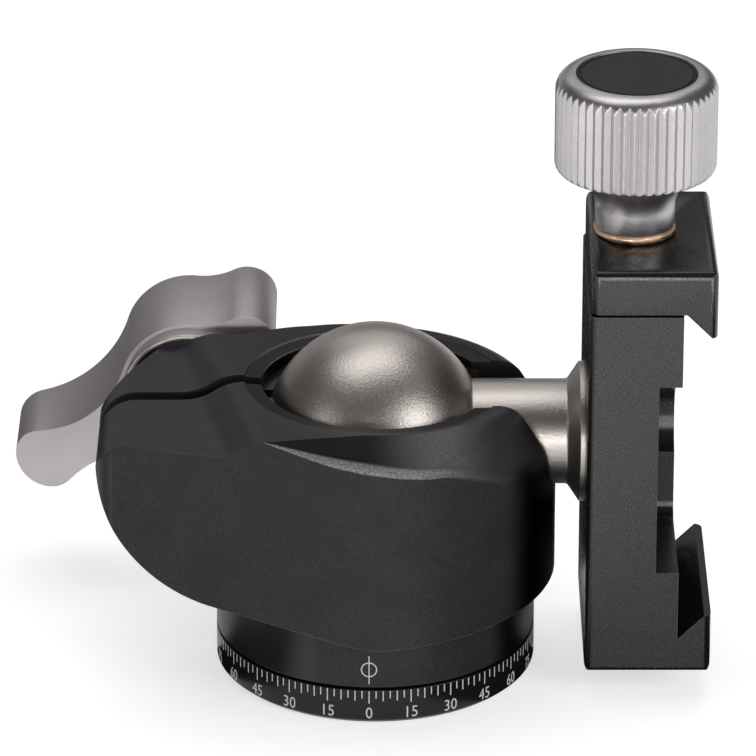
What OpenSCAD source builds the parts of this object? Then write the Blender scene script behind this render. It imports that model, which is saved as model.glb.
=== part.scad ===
// Low-profile tripod ball head with a split housing, a wing lever that pinches the ball,
// a panning base and a screw-knob dovetail clamp, drawn with the stem dropped in its notch.
// Frame: origin at the centre of the base's underside, +Z up, +X from the ball to the clamp,
// +Y to the side of the wing lever. Millimetres.

/* [Ball and stem] */
// Diameter of the ball
ball_d = 25; // [24:0.1:25.6]
// Height of the ball's centre above the underside of the base
ball_z = 28.1; // [28:0.1:30]
// Diameter of the stem
stem_d = 12; // [10:0.1:12.4]
// Distance from the ball's centre to the clamp's seat on the flange
stem_reach = 23.75; // [23.5:0.05:28]
// Diameter of the flange under the clamp
flange_d = 16; // [15:0.1:20]
// Length of the flange's cone
flange_cone = 1.1; // [0.8:0.1:1.5]
// Thickness of the flange's straight rim
flange_rim = 0.6; // [0.4:0.1:1]
// Depth that the stem's spigot enters the ball
stem_spigot = 5; // [3:0.1:6]

/* [Panning base] */
// Diameter of the base ring and of the index collar above it
base_d = 36.6; // [35:0.1:38]
// Height of the base ring
base_h = 4.3; // [4:0.1:5]
// Chamfer at the foot of the base ring
base_chamfer = 0.5; // [0.2:0.1:0.8]
// Gap between the base ring and the index collar
pan_gap = 0.3; // [0.2:0.05:0.4]
// Width of the web's ledge that the retaining plate holds
web_ledge = 2.4; // [2.2:0.1:2.8]
// Thickness of the housing's web round the hub
web_t = 5.6; // [5:0.1:6]
// Outer diameter of the steel tripod bush
bush_d = 12.6; // [12:0.1:13]
// Diameter of the 3/8 inch tripod thread's core
tripod_thread_d = 7.94; // [6:0.01:8]
// Height of the tripod bush
bush_h = 9; // [7:0.1:9.4]
// Thickness of the retaining plate
retainer_t = 1.4; // [1:0.1:1.5]
// Radial gap round the retaining plate
retainer_gap = 0.3; // [0.2:0.05:0.6]
// Thickness of the wave washer under the retaining plate
wave_t = 0.3; // [0.2:0.05:0.35]
// Thickness of the sliding ring between base and housing
glide_t = 0.7; // [0.5:0.05:0.9]
// Inner diameter of the sliding ring
glide_inner_d = 26; // [25:0.1:28]
// Width of the sliding ring
glide_w = 3; // [2:0.1:3.5]
// Depth of the V groove round the hub
groove_depth = 0.8; // [0.5:0.1:0.9]

/* [Housing] */
// Diameter of the round part of the housing
housing_d = 41.2; // [40:0.1:43]
// Height of the rim above the ball's centre
rim_rise = 6.1; // [5.8:0.1:7]
// Radial gap between the ball's equator and the mouth
mouth_gap = 0.4; // [0.3:0.05:0.6]
// Thickness of the lip over the socket liner
lip_t = 1.4; // [1:0.1:2]
// Outer diameter of the rim's flat land
land_d = 30.8; // [30:0.1:32]
// Upper radius of the crown's curve
crown_top_r = 3; // [2:0.1:3.6]
// Height from the rim down to the foot of the crown's curve
crown_drop = 7.4; // [6.5:0.1:9]
// Reach of the clamping ears from the ball's axis
ear_reach = 31.5; // [30.5:0.1:34]
// Angle of the flat front face, seen from above
front_angle = 16; // [12:0.5:18]
// Inset of the back ear's face from the round body
back_inset = 7.6; // [6.6:0.1:8.6]
// Reach of the back ear's slanted end from the ball's axis
end_reach = 28.2; // [27.6:0.1:30]
// Angle of the back ear's slanted end, seen from above
end_turn = 63.5; // [58:0.5:68]
// Lean of the back ear's slanted end from upright
end_lean = 25; // [15:0.5:30]
// Reach of the rolled edge from the ball's axis towards the ears
roll_reach = 14; // [12:0.5:15]
// Angle that the front rolled edge turns away from the flat front
roll_turn_front = 16; // [12:0.5:20]
// Angle that the back rolled edge turns away from the back face
roll_turn_back = 10; // [6:0.5:14]
// Dip of the rolled edges below the rim, in degrees
roll_dip = 42; // [36:0.5:48]
// Inset of the front rolled edge from the flat front's tangent point
roll_inset = 2.4; // [1.8:0.1:3]
// Radius of the ears' upright corners
ear_corner_r = 3.2; // [2:0.1:5]
// Depth of the ears' top below the rim
ear_dip = 1.7; // [1:0.1:2.5]
// Radius of the ears' nose, seen from the side
nose_r = 4.5; // [3:0.1:6]
// Radius of the ears' belly, seen from the side
belly_r = 16; // [14:0.1:17]
// Height of the belly's centre above the ball's centre
belly_rise = 1.4; // [0:0.1:3]
// Slope of the underside towards the ears, in degrees
belly_slope = 10.7; // [8:0.1:13]
// Slope of the underside towards the stem side, in degrees
heel_slope = 4; // [0:0.5:6]
// Width of the slit between the ears
slit_w = 2.2; // [1.6:0.1:3]
// Gap all round the stem in its notch
notch_gap = 0.6; // [0.4:0.05:0.9]
// Bevel at the mouth
mouth_bevel = 0.9; // [0.4:0.1:1.2]

/* [Socket] */
// Wall of the split socket liner at the ball's equator
liner_wall = 1.1; // [0.8:0.05:1.4]
// Depth of the liner's foot below the ball's centre
liner_drop = 8.6; // [8:0.1:9]
// Running gap between the ball and its seats
ball_fit = 0.05; // [0.02:0.01:0.1]
// Thickness of the seat cup under the ball
cup_floor = 1; // [0.8:0.1:1.2]
// Thickness of the circlip that carries the seat cup
circlip_t = 1; // [0.8:0.1:1.1]
// Depth of the circlip's groove
circlip_groove = 0.8; // [0.5:0.1:1]

/* [Lock lever] */
// Distance of the lever's axis from the ball's axis
lever_x = 21.8; // [21:0.1:23]
// Depth of the lever's axis below the ball's centre
lever_drop = 1.6; // [0:0.1:3]
// Diameter of the clamping stud
stud_d = 6; // [5:0.1:6.4]
// Length of the stud in the front ear
stud_bite = 8; // [6:0.1:8.6]
// Diameter of the clamping nut in the front ear
clamp_nut_d = 9; // [8.4:0.1:9.6]
// Length of the clamping nut
clamp_nut_l = 7; // [6:0.1:8]
// Diameter of the lever's collar
collar_d = 15; // [14:0.1:15.4]
// Thickness of the lever's collar
collar_t = 1.4; // [1:0.1:1.8]
// Thickness of the plain washer behind the collar
lever_washer_t = 0.3; // [0.2:0.05:0.5]
// Depth of the wing along its axis
wing_depth = 14.5; // [12:0.1:17]
// Height of the wing's boss on the collar
boss_t = 0.8; // [0.5:0.1:1.2]
// Radius of the wing's hub
wing_hub_r = 7.8; // [7.4:0.1:8.6]
// Reach of the long arm's bulb, along X
long_arm_x = 16.9; // [15:0.1:19]
// Drop of the long arm's bulb, along Z
long_arm_z = 10.6; // [9:0.1:12]
// Radius of the long arm's bulb
long_bulb_r = 3.6; // [3:0.1:4]
// Reach of the short arm's bulb, along X
short_arm_x = 6.7; // [5.8:0.1:7.4]
// Rise of the short arm's bulb, along Z
short_arm_z = 5.4; // [4.6:0.1:6.2]
// Radius of the short arm's bulb
short_bulb_r = 3.5; // [3:0.1:4]
// Radius of the long arm's waist
long_waist_r = 14; // [10:0.5:18]
// Radius of the short arm's waist
short_waist_r = 8; // [5:0.5:12]
// Sweep of the long arm away from the housing, at its tip
arm_sweep = 4.6; // [2:0.1:6]
// Diameter of the lever's retaining screw head
cap_screw_d = 7; // [6:0.1:8]
// Height of the retaining screw head
cap_screw_h = 2; // [1.5:0.1:2.6]

/* [Pan lock] */
// Height of the pan lock's axis
pan_lock_z = 7.3; // [7:0.1:7.5]
// Diameter of the pan lock's screw
pan_screw_d = 4; // [3:0.1:4.2]
// Diameter of the pan lock's knob
pan_knob_d = 10; // [8:0.1:11]
// Length of the pan lock's knob
pan_knob_l = 8; // [6:0.1:10]
// Diameter of the pan lock knob's neck
pan_neck_d = 5; // [4.6:0.1:5.6]
// Length of the brass shoe
shoe_l = 2; // [1.6:0.1:2.4]

/* [Clamp] */
// Width of the clamp
clamp_w = 24; // [22:0.1:28]
// Thickness of the clamp from its back to the plate's seat
clamp_t = 10.55; // [10:0.05:12]
// Depth of the jaws above the plate's seat
jaw_depth = 3.8; // [3.4:0.1:4.4]
// Height of the clamp's closed body
clamp_body_h = 44.35; // [44:0.05:46]
// Height of the moving jaw
jaw_h = 5.4; // [5:0.1:6]
// Distance from the ball's centre down to the clamp's lower end
clamp_below = 24.9; // [24.4:0.1:26]
// Gap between the moving jaw and the body when closed
jaw_gap = 0.05; // [0.02:0.01:0.1]
// Height of the fixed jaw's root above the clamp's lower end
fixed_root = 4.3; // [4:0.1:5]
// Undercut of both jaws at 45 degrees
undercut = 3; // [2.4:0.1:3.2]
// Edge radius of the clamp
clamp_edge_r = 1.1; // [0.8:0.1:1.6]
// Width of the pocket in the plate's seat, along the clamp
pocket_l = 23.1; // [20:0.1:24]
// Drop of the pocket's middle below the ball's centre
pocket_drop = 0.65; // [0:0.05:1]
// Depth of the pocket in the plate's seat
pocket_t = 2.6; // [2:0.1:3]
// Reach of the pocket from the front edge
pocket_reach = 15; // [13:0.1:17]
// Corner radius of the pocket
pocket_r = 2; // [1:0.1:3]
// Diameter of the fixing screw's thread
fix_d = 6; // [5:0.1:6]
// Diameter of the fixing screw's head
fix_head_d = 10; // [9:0.1:11]
// Height of the fixing screw's head
fix_head_h = 3.2; // [3:0.1:4]
// Thickness left under the fixing screw's head
fix_floor = 4.4; // [4:0.1:5]
// Length of the fixing screw in the stem
fix_bite = 8; // [6:0.1:10]
// Diameter of the anti-twist pins
twist_pin_d = 2; // [1.5:0.1:2.2]
// Length of the anti-twist pins
twist_pin_l = 3; // [2.6:0.1:3.4]
// Distance between the anti-twist pins
twist_pin_pitch = 11; // [10.4:0.1:11.4]

/* [Clamp screw and knob] */
// Distance of the knob's axis from the clamp's back
knob_offset = 5.35; // [5.2:0.05:5.5]
// Diameter of the clamp screw
screw_d = 5; // [4:0.1:5]
// Length of the clamp screw below the jaw
screw_l = 8; // [7:0.1:8.3]
// Travel of the moving jaw
jaw_travel = 5; // [4:0.1:6]
// Diameter of the bronze washer
washer_d = 9.2; // [8.6:0.1:10]
// Thickness of the bronze washer
washer_t = 1; // [0.8:0.1:1.4]
// Diameter of the knob
knob_d = 18.2; // [16:0.1:20]
// Height of the knob's neck
neck_h = 6.6; // [5:0.1:9]
// Height of the knob's grip
grip_h = 11.4; // [10:0.1:14]
// Radius of the knob's upper shoulder
shoulder_r = 2; // [1.5:0.1:3]
// Chamfer under the knob's grip
grip_chamfer = 0.8; // [0.6:0.1:1.4]
// Radius of the knob's hollow neck
waist_r = 4.4; // [3.6:0.1:4.8]
// Number of grooves in the grip
knurls = 50; // [36:1:60]
// Depth of the grooves
knurl_depth = 0.4; // [0.25:0.05:0.5]
// Diameter of the knob's inlay
inlay_d = 13.4; // [11:0.1:14]
// Thickness of the inlay
inlay_t = 0.8; // [0.5:0.1:1]
// Distance between the guide pins
pin_pitch = 16; // [14.8:0.1:16.6]
// Diameter of the guide pins
pin_d = 3; // [2.4:0.1:3.2]
// Length of the guide pins in the body
pin_bite = 13; // [12:0.1:14]
// Length of the guide pins in the jaw
pin_reach = 3.6; // [3:0.1:4.2]
// Depth of the spring pockets in the body
spring_l = 6; // [5:0.1:7]
// Wire diameter of the jaw springs
wire_d = 0.5; // [0.4:0.05:0.6]
// Turns of each jaw spring
spring_turns = 5; // [3:1:6]

/* [Fits] */
// Radial gap of a running fit
run_fit = 0.05; // [0.02:0.01:0.1]
// Radial gap of a seated fit inside one body
seat_fit = 0.02; // [0.01:0.01:0.04]

/* [Hidden] */
$fn = 96;
OVER = 1; // reach of a cut past the face it opens

champagne = [0.62, 0.59, 0.56];
black = [0.11, 0.11, 0.12];
steel = [0.55, 0.56, 0.58];
brass = [0.72, 0.55, 0.28];
polymer = [0.07, 0.07, 0.08];

// ball and stem
ball_r = ball_d / 2;
stem_r = stem_d / 2;
flange_r = flange_d / 2;
cone_x = stem_reach - flange_rim - flange_cone;
spigot_r = stem_r - 2;
mouth_r = ball_r + mouth_gap;

// panning base
base_r = base_d / 2;
hub_r = mouth_r - web_ledge;
bush_r = bush_d / 2;
collar_z = base_h + pan_gap;
web_z = collar_z + web_t;
hub_top = web_z + wave_t + run_fit * 2;
retainer_top = hub_top + retainer_t;
glide_z = base_h - glide_t / 2;
retainer_screw_r = 1;
retainer_head_r = 1.8;
retainer_screw_l = 4;
wave_edge = 0.25; // gap at both edges of the wave washer
screw_ring_r = (hub_r + bush_r) / 2;
hatch_r = tripod_thread_d / 2 + 0.6;

// housing
housing_r = housing_d / 2;
rim_z = ball_z + rim_rise;
retainer_r = mouth_r - retainer_gap;
land_r = land_d / 2;
crown_low_r = housing_r - land_r;
crown_low_z = rim_z - crown_drop;
crown_top_z = rim_z - crown_top_r;
crown_tilt = asin((crown_low_r - crown_top_r) / (crown_top_z - crown_low_z));
ear_top = rim_z - ear_dip;
nose_z = ear_top - nose_r;
nose_x = -(ear_reach - nose_r);
belly_x = -(ear_reach - belly_r);
belly_z = ball_z + belly_rise;
heel_x = belly_x - belly_r * sin(belly_slope);
heel_z = belly_z - belly_r * cos(belly_slope);
// the underside starts a hair inside the belly's circle
heel_lift = 0.03;
under_z = heel_z + heel_lift + heel_x * tan(belly_slope);
toe_x = housing_r + OVER;
toe_z = under_z + toe_x * tan(heel_slope);
step_x1 = -land_r - 0.6;
step_x0 = step_x1 - 7;
step_r = (pow(step_x1 - step_x0, 2) + pow(ear_dip, 2)) / (4 * ear_dip);
tangent_x = -housing_r * sin(front_angle);
tangent_y = -housing_r * cos(front_angle);
corner_x = -(ear_reach - ear_corner_r);
corner_front_y = -(housing_r - ear_corner_r + corner_x * sin(front_angle)) / cos(front_angle);
ear_back = housing_r - back_inset;
corner_back_y = ear_back - ear_corner_r;
notch_r = stem_r + notch_gap;

// socket
seat_r = ball_r + ball_fit;
liner_r = ball_r + liner_wall;
liner_bore_r = liner_r + run_fit;
liner_top = rim_z - lip_t - run_fit;
liner_foot = ball_z - liner_drop;
cup_r = mouth_r - run_fit;
cup_foot = ball_z - ball_r - cup_floor;
circlip_z = cup_foot - circlip_t;
circlip_r = mouth_r + circlip_groove - run_fit * 2;

// lock lever
lever_z = ball_z - lever_drop;
stud_r = stud_d / 2;
nut_r = clamp_nut_d / 2;
collar_y = ear_back + lever_washer_t;
boss_y = collar_y + collar_t;
wing_y = boss_y + boss_t;
wing_end = wing_y + wing_depth;
boss_r = collar_d / 2 - 0.1;
lever_pitch_gap = 0.3;
relief_gap = 0.3;
relief_r = sqrt(pow(short_arm_x, 2) + pow(short_arm_z, 2)) + short_bulb_r + relief_gap;
cap_thread_r = 2;

// pan lock
pan_screw_r = pan_screw_d / 2;
groove_floor = hub_r - groove_depth;
shoe_y = hub_r + run_fit;
shoe_end = shoe_y + shoe_l;
pan_knob_y = housing_r + 0.8;
pan_neck_y = base_r + 0.2;
shoe_tip_r = 0.3;
shoe_tip_y = groove_floor + shoe_tip_r + run_fit * 2;

// clamp
clamp_x = stem_reach;
seat_x = clamp_x + clamp_t;
jaw_x = seat_x + jaw_depth;
clamp_z = ball_z - clamp_below;
body_top = clamp_z + clamp_body_h;
jaw_z = body_top + jaw_gap;
jaw_top = jaw_z + jaw_h;
hook_gap = 0.35;
hook_x = seat_x + hook_gap;
half_w = clamp_w / 2;
root_z = clamp_z + fixed_root;
screw_axis_x = clamp_x + knob_offset;
pocket_z = ball_z - pocket_drop - pocket_l / 2;
fix_r = fix_d / 2;
fix_head_r = fix_head_d / 2;
fix_head_x = clamp_x + fix_floor;
fix_end_x = clamp_x - fix_bite;
twist_pin_r = twist_pin_d / 2;
twist_pin_x = clamp_x - twist_pin_l / 2;

// knob
screw_r = screw_d / 2;
screw_foot = body_top - screw_l;
knob_z = jaw_top + washer_t;
grip_z = knob_z + neck_h;
knob_top = grip_z + grip_h;
knob_r = knob_d / 2;
neck_r = washer_d / 2 - 0.1;
washer_r = washer_d / 2;
inlay_r = inlay_d / 2;
screw_head = grip_z + grip_h / 2;
pin_r = pin_d / 2;
spring_r = pin_r + wire_d / 2 + 0.25;
spring_hole_r = spring_r + wire_d / 2 + 0.25;
clip_t = 0.5;
clip_r = screw_r + 1.3;
clip_room = 0.1;

// ---------- shared shapes ----------

// cylinder along +X from x0, of length l
module rod_x(x0, y, z, r, l) {
    translate([x0, y, z]) rotate([0, 90, 0]) cylinder(r = r, h = l);
}

// cylinder along +Y from y0, of length l
module rod_y(x, y0, z, r, l) {
    translate([x, y0, z]) rotate([-90, 0, 0]) cylinder(r = r, h = l);
}

// cylinder along +Z from z0, of length l
module rod_z(x, y, z0, r, l) {
    translate([x, y, z0]) cylinder(r = r, h = l);
}

// ring with an upright axis
module ring(r_out, r_in, z0, h) {
    difference() {
        rod_z(0, 0, z0, r_out, h);
        rod_z(0, 0, z0 - OVER, r_in, h + 2 * OVER);
    }
}

// shape drawn in X and Z, carried from y0 to y1
module along_y(y0, y1) {
    translate([0, y1, 0]) rotate([90, 0, 0]) linear_extrude(y1 - y0) children();
}

// places a child at each retainer screw
module at_retainer_screws() {
    for (a = [30 : 120 : 270]) rotate([0, 0, a]) translate([screw_ring_r, 0, 0]) children();
}

// rectangle with its corners rounded by r
module rounded_rect(x0, y0, x1, y1, r) {
    translate([x0 + r, y0]) square([x1 - x0 - 2 * r, y1 - y0]);
    translate([x0, y0 + r]) square([x1 - x0, y1 - y0 - 2 * r]);
    for (x = [x0 + r, x1 - r], y = [y0 + r, y1 - r]) translate([x, y]) circle(r = r);
}

// closed tube along the points of an upright coil
module coil(r, wire_r, z0, z1, turns) {
    steps = 16;
    sides = 6;
    rings = turns * steps;
    span = z1 - z0 - 2 * wire_r;
    points = [
        for (i = [0 : rings], k = [0 : sides - 1])
            let (a = 360 * i / steps, b = 360 * k / sides, q = r + wire_r * cos(b))
                [q * cos(a), q * sin(a), z0 + wire_r + span * i / rings + wire_r * sin(b)]
    ];
    walls = [
        for (i = [0 : rings - 1], k = [0 : sides - 1])
            let (n = (k + 1) % sides)
                [i * sides + k, (i + 1) * sides + k, (i + 1) * sides + n, i * sides + n]
    ];
    first = [for (k = [0 : sides - 1]) k];
    last = [for (k = [sides - 1 : -1 : 0]) rings * sides + k];
    polyhedron(points, concat(walls, [first, last]), convexity = 4);
}

// ---------- panning base ----------

module base_ring() {
    color(black) difference() {
        union() {
            translate([0, 0, base_chamfer]) cylinder(r = base_r, h = base_h - base_chamfer);
            cylinder(r1 = base_r - base_chamfer, r2 = base_r, h = base_chamfer);
            cylinder(r = hub_r, h = hub_top);
        }
        // recess for the sliding ring
        ring(glide_inner_d / 2 + glide_w + run_fit, glide_inner_d / 2 - run_fit, glide_z, glide_t);
        // V groove for the pan lock's shoe
        rotate_extrude() polygon([
            [groove_floor, pan_lock_z],
            [hub_r + OVER, pan_lock_z - groove_depth - OVER],
            [hub_r + OVER, pan_lock_z + groove_depth + OVER]
        ]);
        // seat of the tripod bush, with the bolt's way out above it
        translate([0, 0, -OVER]) cylinder(r = bush_r + seat_fit, h = bush_h + OVER);
        cylinder(r = hatch_r, h = hub_top + OVER);
        at_retainer_screws() rod_z(0, 0, retainer_top - retainer_screw_l, retainer_screw_r + seat_fit,
            retainer_screw_l);
    }
}

module tripod_bush() {
    color(steel) ring(bush_r, tripod_thread_d / 2, 0, bush_h);
}

module glide_ring() {
    color("ivory") ring(glide_inner_d / 2 + glide_w, glide_inner_d / 2, glide_z, glide_t);
}

module wave_washer() {
    color(steel) ring(retainer_r - wave_edge, hub_r + wave_edge, web_z + run_fit, wave_t);
}

module retaining_plate() {
    color(steel) difference() {
        ring(retainer_r, hatch_r, hub_top, retainer_t);
        at_retainer_screws() {
            rod_z(0, 0, hub_top - OVER, retainer_screw_r + run_fit, retainer_t + 2 * OVER);
            translate([0, 0, retainer_top - retainer_head_r + retainer_screw_r])
                cylinder(r1 = retainer_screw_r + run_fit, r2 = retainer_head_r + run_fit,
                    h = retainer_head_r - retainer_screw_r + 0.001);
        }
    }
}

module retainer_screws() {
    head_h = retainer_head_r - retainer_screw_r;
    color(steel) at_retainer_screws() difference() {
        union() {
            rod_z(0, 0, retainer_top - retainer_screw_l + seat_fit, retainer_screw_r,
                retainer_screw_l - seat_fit - head_h / 2);
            translate([0, 0, retainer_top - head_h])
                cylinder(r1 = retainer_screw_r, r2 = retainer_head_r, h = head_h);
        }
        // hexagon socket
        translate([0, 0, retainer_top - head_h]) cylinder(r = 0.75, h = head_h + OVER, $fn = 6);
    }
}

// ---------- housing ----------

// half section of the round body with its rolled crown
module crown_profile() {
    square([housing_r, crown_low_z]);
    square([land_r, rim_z]);
    difference() {
        union() {
            translate([land_r, crown_low_z]) circle(r = crown_low_r);
            translate([land_r, crown_top_z]) circle(r = crown_top_r);
            polygon([
                [land_r, crown_low_z],
                [land_r + crown_low_r * cos(crown_tilt), crown_low_z + crown_low_r * sin(crown_tilt)],
                [land_r + crown_top_r * cos(crown_tilt), crown_top_z + crown_top_r * sin(crown_tilt)],
                [land_r, crown_top_z]
            ]);
        }
        translate([-land_r, 0]) square([2 * land_r, rim_z]);
    }
}

// outline of the ears from above: a flat front at an angle, a flat back
module ear_plan() {
    front_x = corner_x - ear_corner_r * sin(front_angle);
    front_y = corner_front_y - ear_corner_r * cos(front_angle);
    polygon([
        [tangent_x, tangent_y], [front_x, front_y], [-ear_reach, corner_front_y],
        [-ear_reach, corner_back_y], [corner_x, ear_back], [-land_r + 6, ear_back], [0, 0]
    ]);
    for (y = [corner_front_y, corner_back_y]) translate([corner_x, y]) circle(r = ear_corner_r);
}

// side outline: everything under the top line
module top_region() {
    step_mid = (step_x0 + step_x1) / 2;
    mid_z = ear_top + ear_dip / 2;
    translate([nose_x, nose_z]) circle(r = nose_r);
    translate([-ear_reach, 0]) square([ear_reach + toe_x, nose_z]);
    translate([nose_x, 0]) square([step_x0 - nose_x, ear_top]);
    translate([step_x1, 0]) square([toe_x - step_x1, rim_z]);
    // an S curve leads from the ears up to the rim
    difference() {
        translate([step_x0, 0]) square([step_mid - step_x0, mid_z]);
        translate([step_x0, ear_top + step_r]) circle(r = step_r);
    }
    translate([step_mid, 0]) square([step_x1 - step_mid, mid_z]);
    intersection() {
        translate([step_mid, mid_z - OVER]) square([step_x1 - step_mid, rim_z - mid_z + OVER]);
        translate([step_x1, rim_z - step_r]) circle(r = step_r);
    }
}

// side outline: everything over the underside
module belly_region() {
    translate([belly_x, belly_z]) circle(r = belly_r);
    polygon([
        [heel_x, heel_z + heel_lift], [0, under_z], [toe_x, toe_z], [toe_x, rim_z + OVER],
        [belly_x, rim_z + OVER], [belly_x, belly_z]
    ]);
}

// facet that leads the sharp ear edge over into the rolled crown
module roll_facet(side, edge_y, turn) {
    far = 2 * housing_r;
    translate([-roll_reach, side * edge_y, rim_z]) rotate([0, 0, -side * turn])
        rotate([-side * roll_dip, 0, 0]) translate([-far, side > 0 ? 0 : -far, 0])
            cube([2 * far, far, far]);
}

// slanted end of the back ear
module end_facet() {
    far = 2 * housing_r;
    translate([-end_reach * sin(end_turn), end_reach * cos(end_turn), ear_top]) rotate([0, 0, end_turn])
        rotate([end_lean, 0, 0]) translate([-far, 0, -far]) cube([2 * far, far, 2 * far]);
}

module housing_blank() {
    translate([0, 0, collar_z]) cylinder(r = base_r, h = heel_z - collar_z + OVER);
    intersection() {
        along_y(-housing_r - OVER, housing_r + OVER) intersection() {
            top_region();
            belly_region();
        }
        union() {
            rotate_extrude() crown_profile();
            difference() {
                linear_extrude(rim_z) ear_plan();
                roll_facet(-1, -tangent_y - roll_inset, roll_turn_front);
                roll_facet(1, ear_back, roll_turn_back);
                end_facet();
            }
        }
    }
}

// half section of the stepped socket and its bevelled mouth
module socket_profile() {
    square([hub_r + run_fit, web_z + OVER]);
    translate([0, web_z]) square([mouth_r, rim_z + OVER - web_z]);
    translate([0, circlip_z - run_fit]) square([mouth_r + circlip_groove, circlip_t + 2 * run_fit]);
    translate([0, liner_foot]) square([liner_bore_r, rim_z - lip_t - liner_foot]);
    polygon([
        [0, rim_z - mouth_bevel], [mouth_r, rim_z - mouth_bevel],
        [mouth_r + mouth_bevel + OVER, rim_z + OVER], [0, rim_z + OVER]
    ]);
}

// slot that the stem drops into, with a round floor
module stem_notch(r) {
    rod_x(0, 0, ball_z, r, housing_r + 2 * OVER);
    translate([0, -r, ball_z]) cube([housing_r + 2 * OVER, 2 * r, rim_rise + OVER]);
}

module housing() {
    color(black) difference() {
        housing_blank();
        rotate_extrude() socket_profile();
        stem_notch(notch_r);
        // slit between the ears
        translate([-ear_reach - OVER, -slit_w / 2, retainer_top + run_fit * 2])
            cube([ear_reach, slit_w, rim_z]);
        // recess for the sliding ring
        ring(glide_inner_d / 2 + glide_w + run_fit * 2, glide_inner_d / 2 - run_fit * 2,
            collar_z - OVER, OVER + glide_z + glide_t + run_fit * 2 - collar_z);
        // way of the clamping stud, and the seat of its nut
        rod_y(-lever_x, 0, lever_z, stud_r + run_fit * 2, ear_back + OVER);
        rod_y(-lever_x, -slit_w / 2 - clamp_nut_l - run_fit, lever_z, nut_r + seat_fit,
            clamp_nut_l + OVER);
        rod_y(-lever_x, -slit_w / 2 - stud_bite - lever_pitch_gap, lever_z, stud_r + run_fit * 2,
            stud_bite);
        // seat of the lever's collar
        rod_y(-lever_x, ear_back, lever_z, collar_d / 2 + relief_gap, housing_r);
        // round relief that the wing's short arm swings in
        rod_y(-lever_x, wing_y - relief_gap, lever_z, relief_r, housing_r);
        // way of the pan lock's screw and shoe
        rod_y(0, hub_r - OVER, pan_lock_z, pan_screw_r + run_fit, housing_r);
    }
}

module socket_liner() {
    color(polymer) difference() {
        ring(liner_r, mouth_r / 2, liner_foot + run_fit, liner_top - liner_foot - run_fit);
        translate([0, 0, ball_z]) sphere(r = seat_r);
        stem_notch(notch_r);
        translate([-liner_r - OVER, -slit_w / 2, liner_foot]) cube([liner_r, slit_w, rim_z]);
    }
}

module seat_cup() {
    color("gainsboro") difference() {
        ring(cup_r, tripod_thread_d / 2, cup_foot, liner_foot - cup_foot);
        translate([0, 0, ball_z]) sphere(r = seat_r);
    }
}

module seat_circlip() {
    color(steel) difference() {
        ring(circlip_r, mouth_r - 1.6, circlip_z, circlip_t);
        translate([-circlip_r - OVER, -slit_w, circlip_z - OVER])
            cube([circlip_r, 2 * slit_w, circlip_t + 2 * OVER]);
    }
}

module clamping_nut() {
    color(steel) difference() {
        rod_y(-lever_x, -slit_w / 2 - clamp_nut_l, lever_z, nut_r, clamp_nut_l);
        rod_y(-lever_x, -slit_w / 2 - clamp_nut_l - OVER, lever_z, stud_r + run_fit,
            clamp_nut_l + 2 * OVER);
    }
}

// ---------- pan lock ----------

module pan_lock_shoe() {
    tip_l = pan_screw_r - shoe_tip_r;
    color(brass) {
        rod_y(0, shoe_tip_y + tip_l, pan_lock_z, pan_screw_r, shoe_end - shoe_tip_y - tip_l);
        // conical tip that seats in the V groove
        translate([0, shoe_tip_y, pan_lock_z]) rotate([-90, 0, 0])
            cylinder(r1 = shoe_tip_r, r2 = pan_screw_r, h = tip_l);
    }
}

module pan_lock_screw() {
    color(steel) rod_y(0, shoe_end, pan_lock_z, pan_screw_r - run_fit / 2,
        pan_knob_y + pan_knob_l / 2 - shoe_end);
}

module pan_lock_knob() {
    grooves = 24;
    color(champagne) difference() {
        union() {
            rod_y(0, pan_neck_y, pan_lock_z, pan_neck_d / 2, pan_knob_y - pan_neck_y + OVER);
            translate([0, pan_knob_y, pan_lock_z]) rotate([-90, 0, 0]) {
                cylinder(r1 = pan_knob_d / 2 - 0.6, r2 = pan_knob_d / 2, h = 0.6);
                translate([0, 0, 0.6]) cylinder(r = pan_knob_d / 2, h = pan_knob_l - 1.4);
                translate([0, 0, pan_knob_l - 0.8])
                    cylinder(r1 = pan_knob_d / 2, r2 = pan_knob_d / 2 - 0.8, h = 0.8);
            }
        }
        rod_y(0, pan_neck_y - OVER, pan_lock_z, pan_screw_r + seat_fit,
            pan_knob_y + pan_knob_l / 2 - pan_neck_y + OVER + seat_fit);
        for (i = [0 : grooves - 1]) translate([0, 0, pan_lock_z]) rotate([0, i * 360 / grooves, 0])
            rod_y(pan_knob_d / 2 + 0.2, pan_knob_y + 1.2, 0, 0.5, pan_knob_l - 2.6);
    }
}

// ---------- lock lever ----------

module lever_disc(y0, r, l) {
    rod_y(-lever_x, y0, lever_z, r, l);
}

module lever_washer() {
    color(polymer) difference() {
        lever_disc(ear_back, collar_d / 2 - 0.4, lever_washer_t);
        lever_disc(ear_back - OVER, stud_r + run_fit, lever_washer_t + 2 * OVER);
    }
}

module lever_collar() {
    color(champagne) difference() {
        lever_disc(collar_y, collar_d / 2, collar_t);
        lever_disc(collar_y - OVER, stud_r + run_fit, collar_t + 2 * OVER);
    }
}

// centre of the waist circle of radius w that touches the hub and a bulb, on side s
function waist_centre(x, z, r, w, s) =
    let (d = sqrt(x * x + z * z), a = (pow(wing_hub_r + w, 2) - pow(r + w, 2) + d * d) / (2 * d),
        b = s * sqrt(pow(wing_hub_r + w, 2) - a * a))
        [(a * x - b * z) / d, (a * z + b * x) / d];

// arm from the hub to a bulb at (x, z), with a hollow waist on both sides
module wing_arm(x, z, r, w) {
    upper = waist_centre(x, z, r, w, 1);
    lower = waist_centre(x, z, r, w, -1);
    translate([x, z]) circle(r = r);
    difference() {
        polygon([[0, 0], upper, [x, z], lower]);
        translate(upper) circle(r = w);
        translate(lower) circle(r = w);
    }
}

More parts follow.
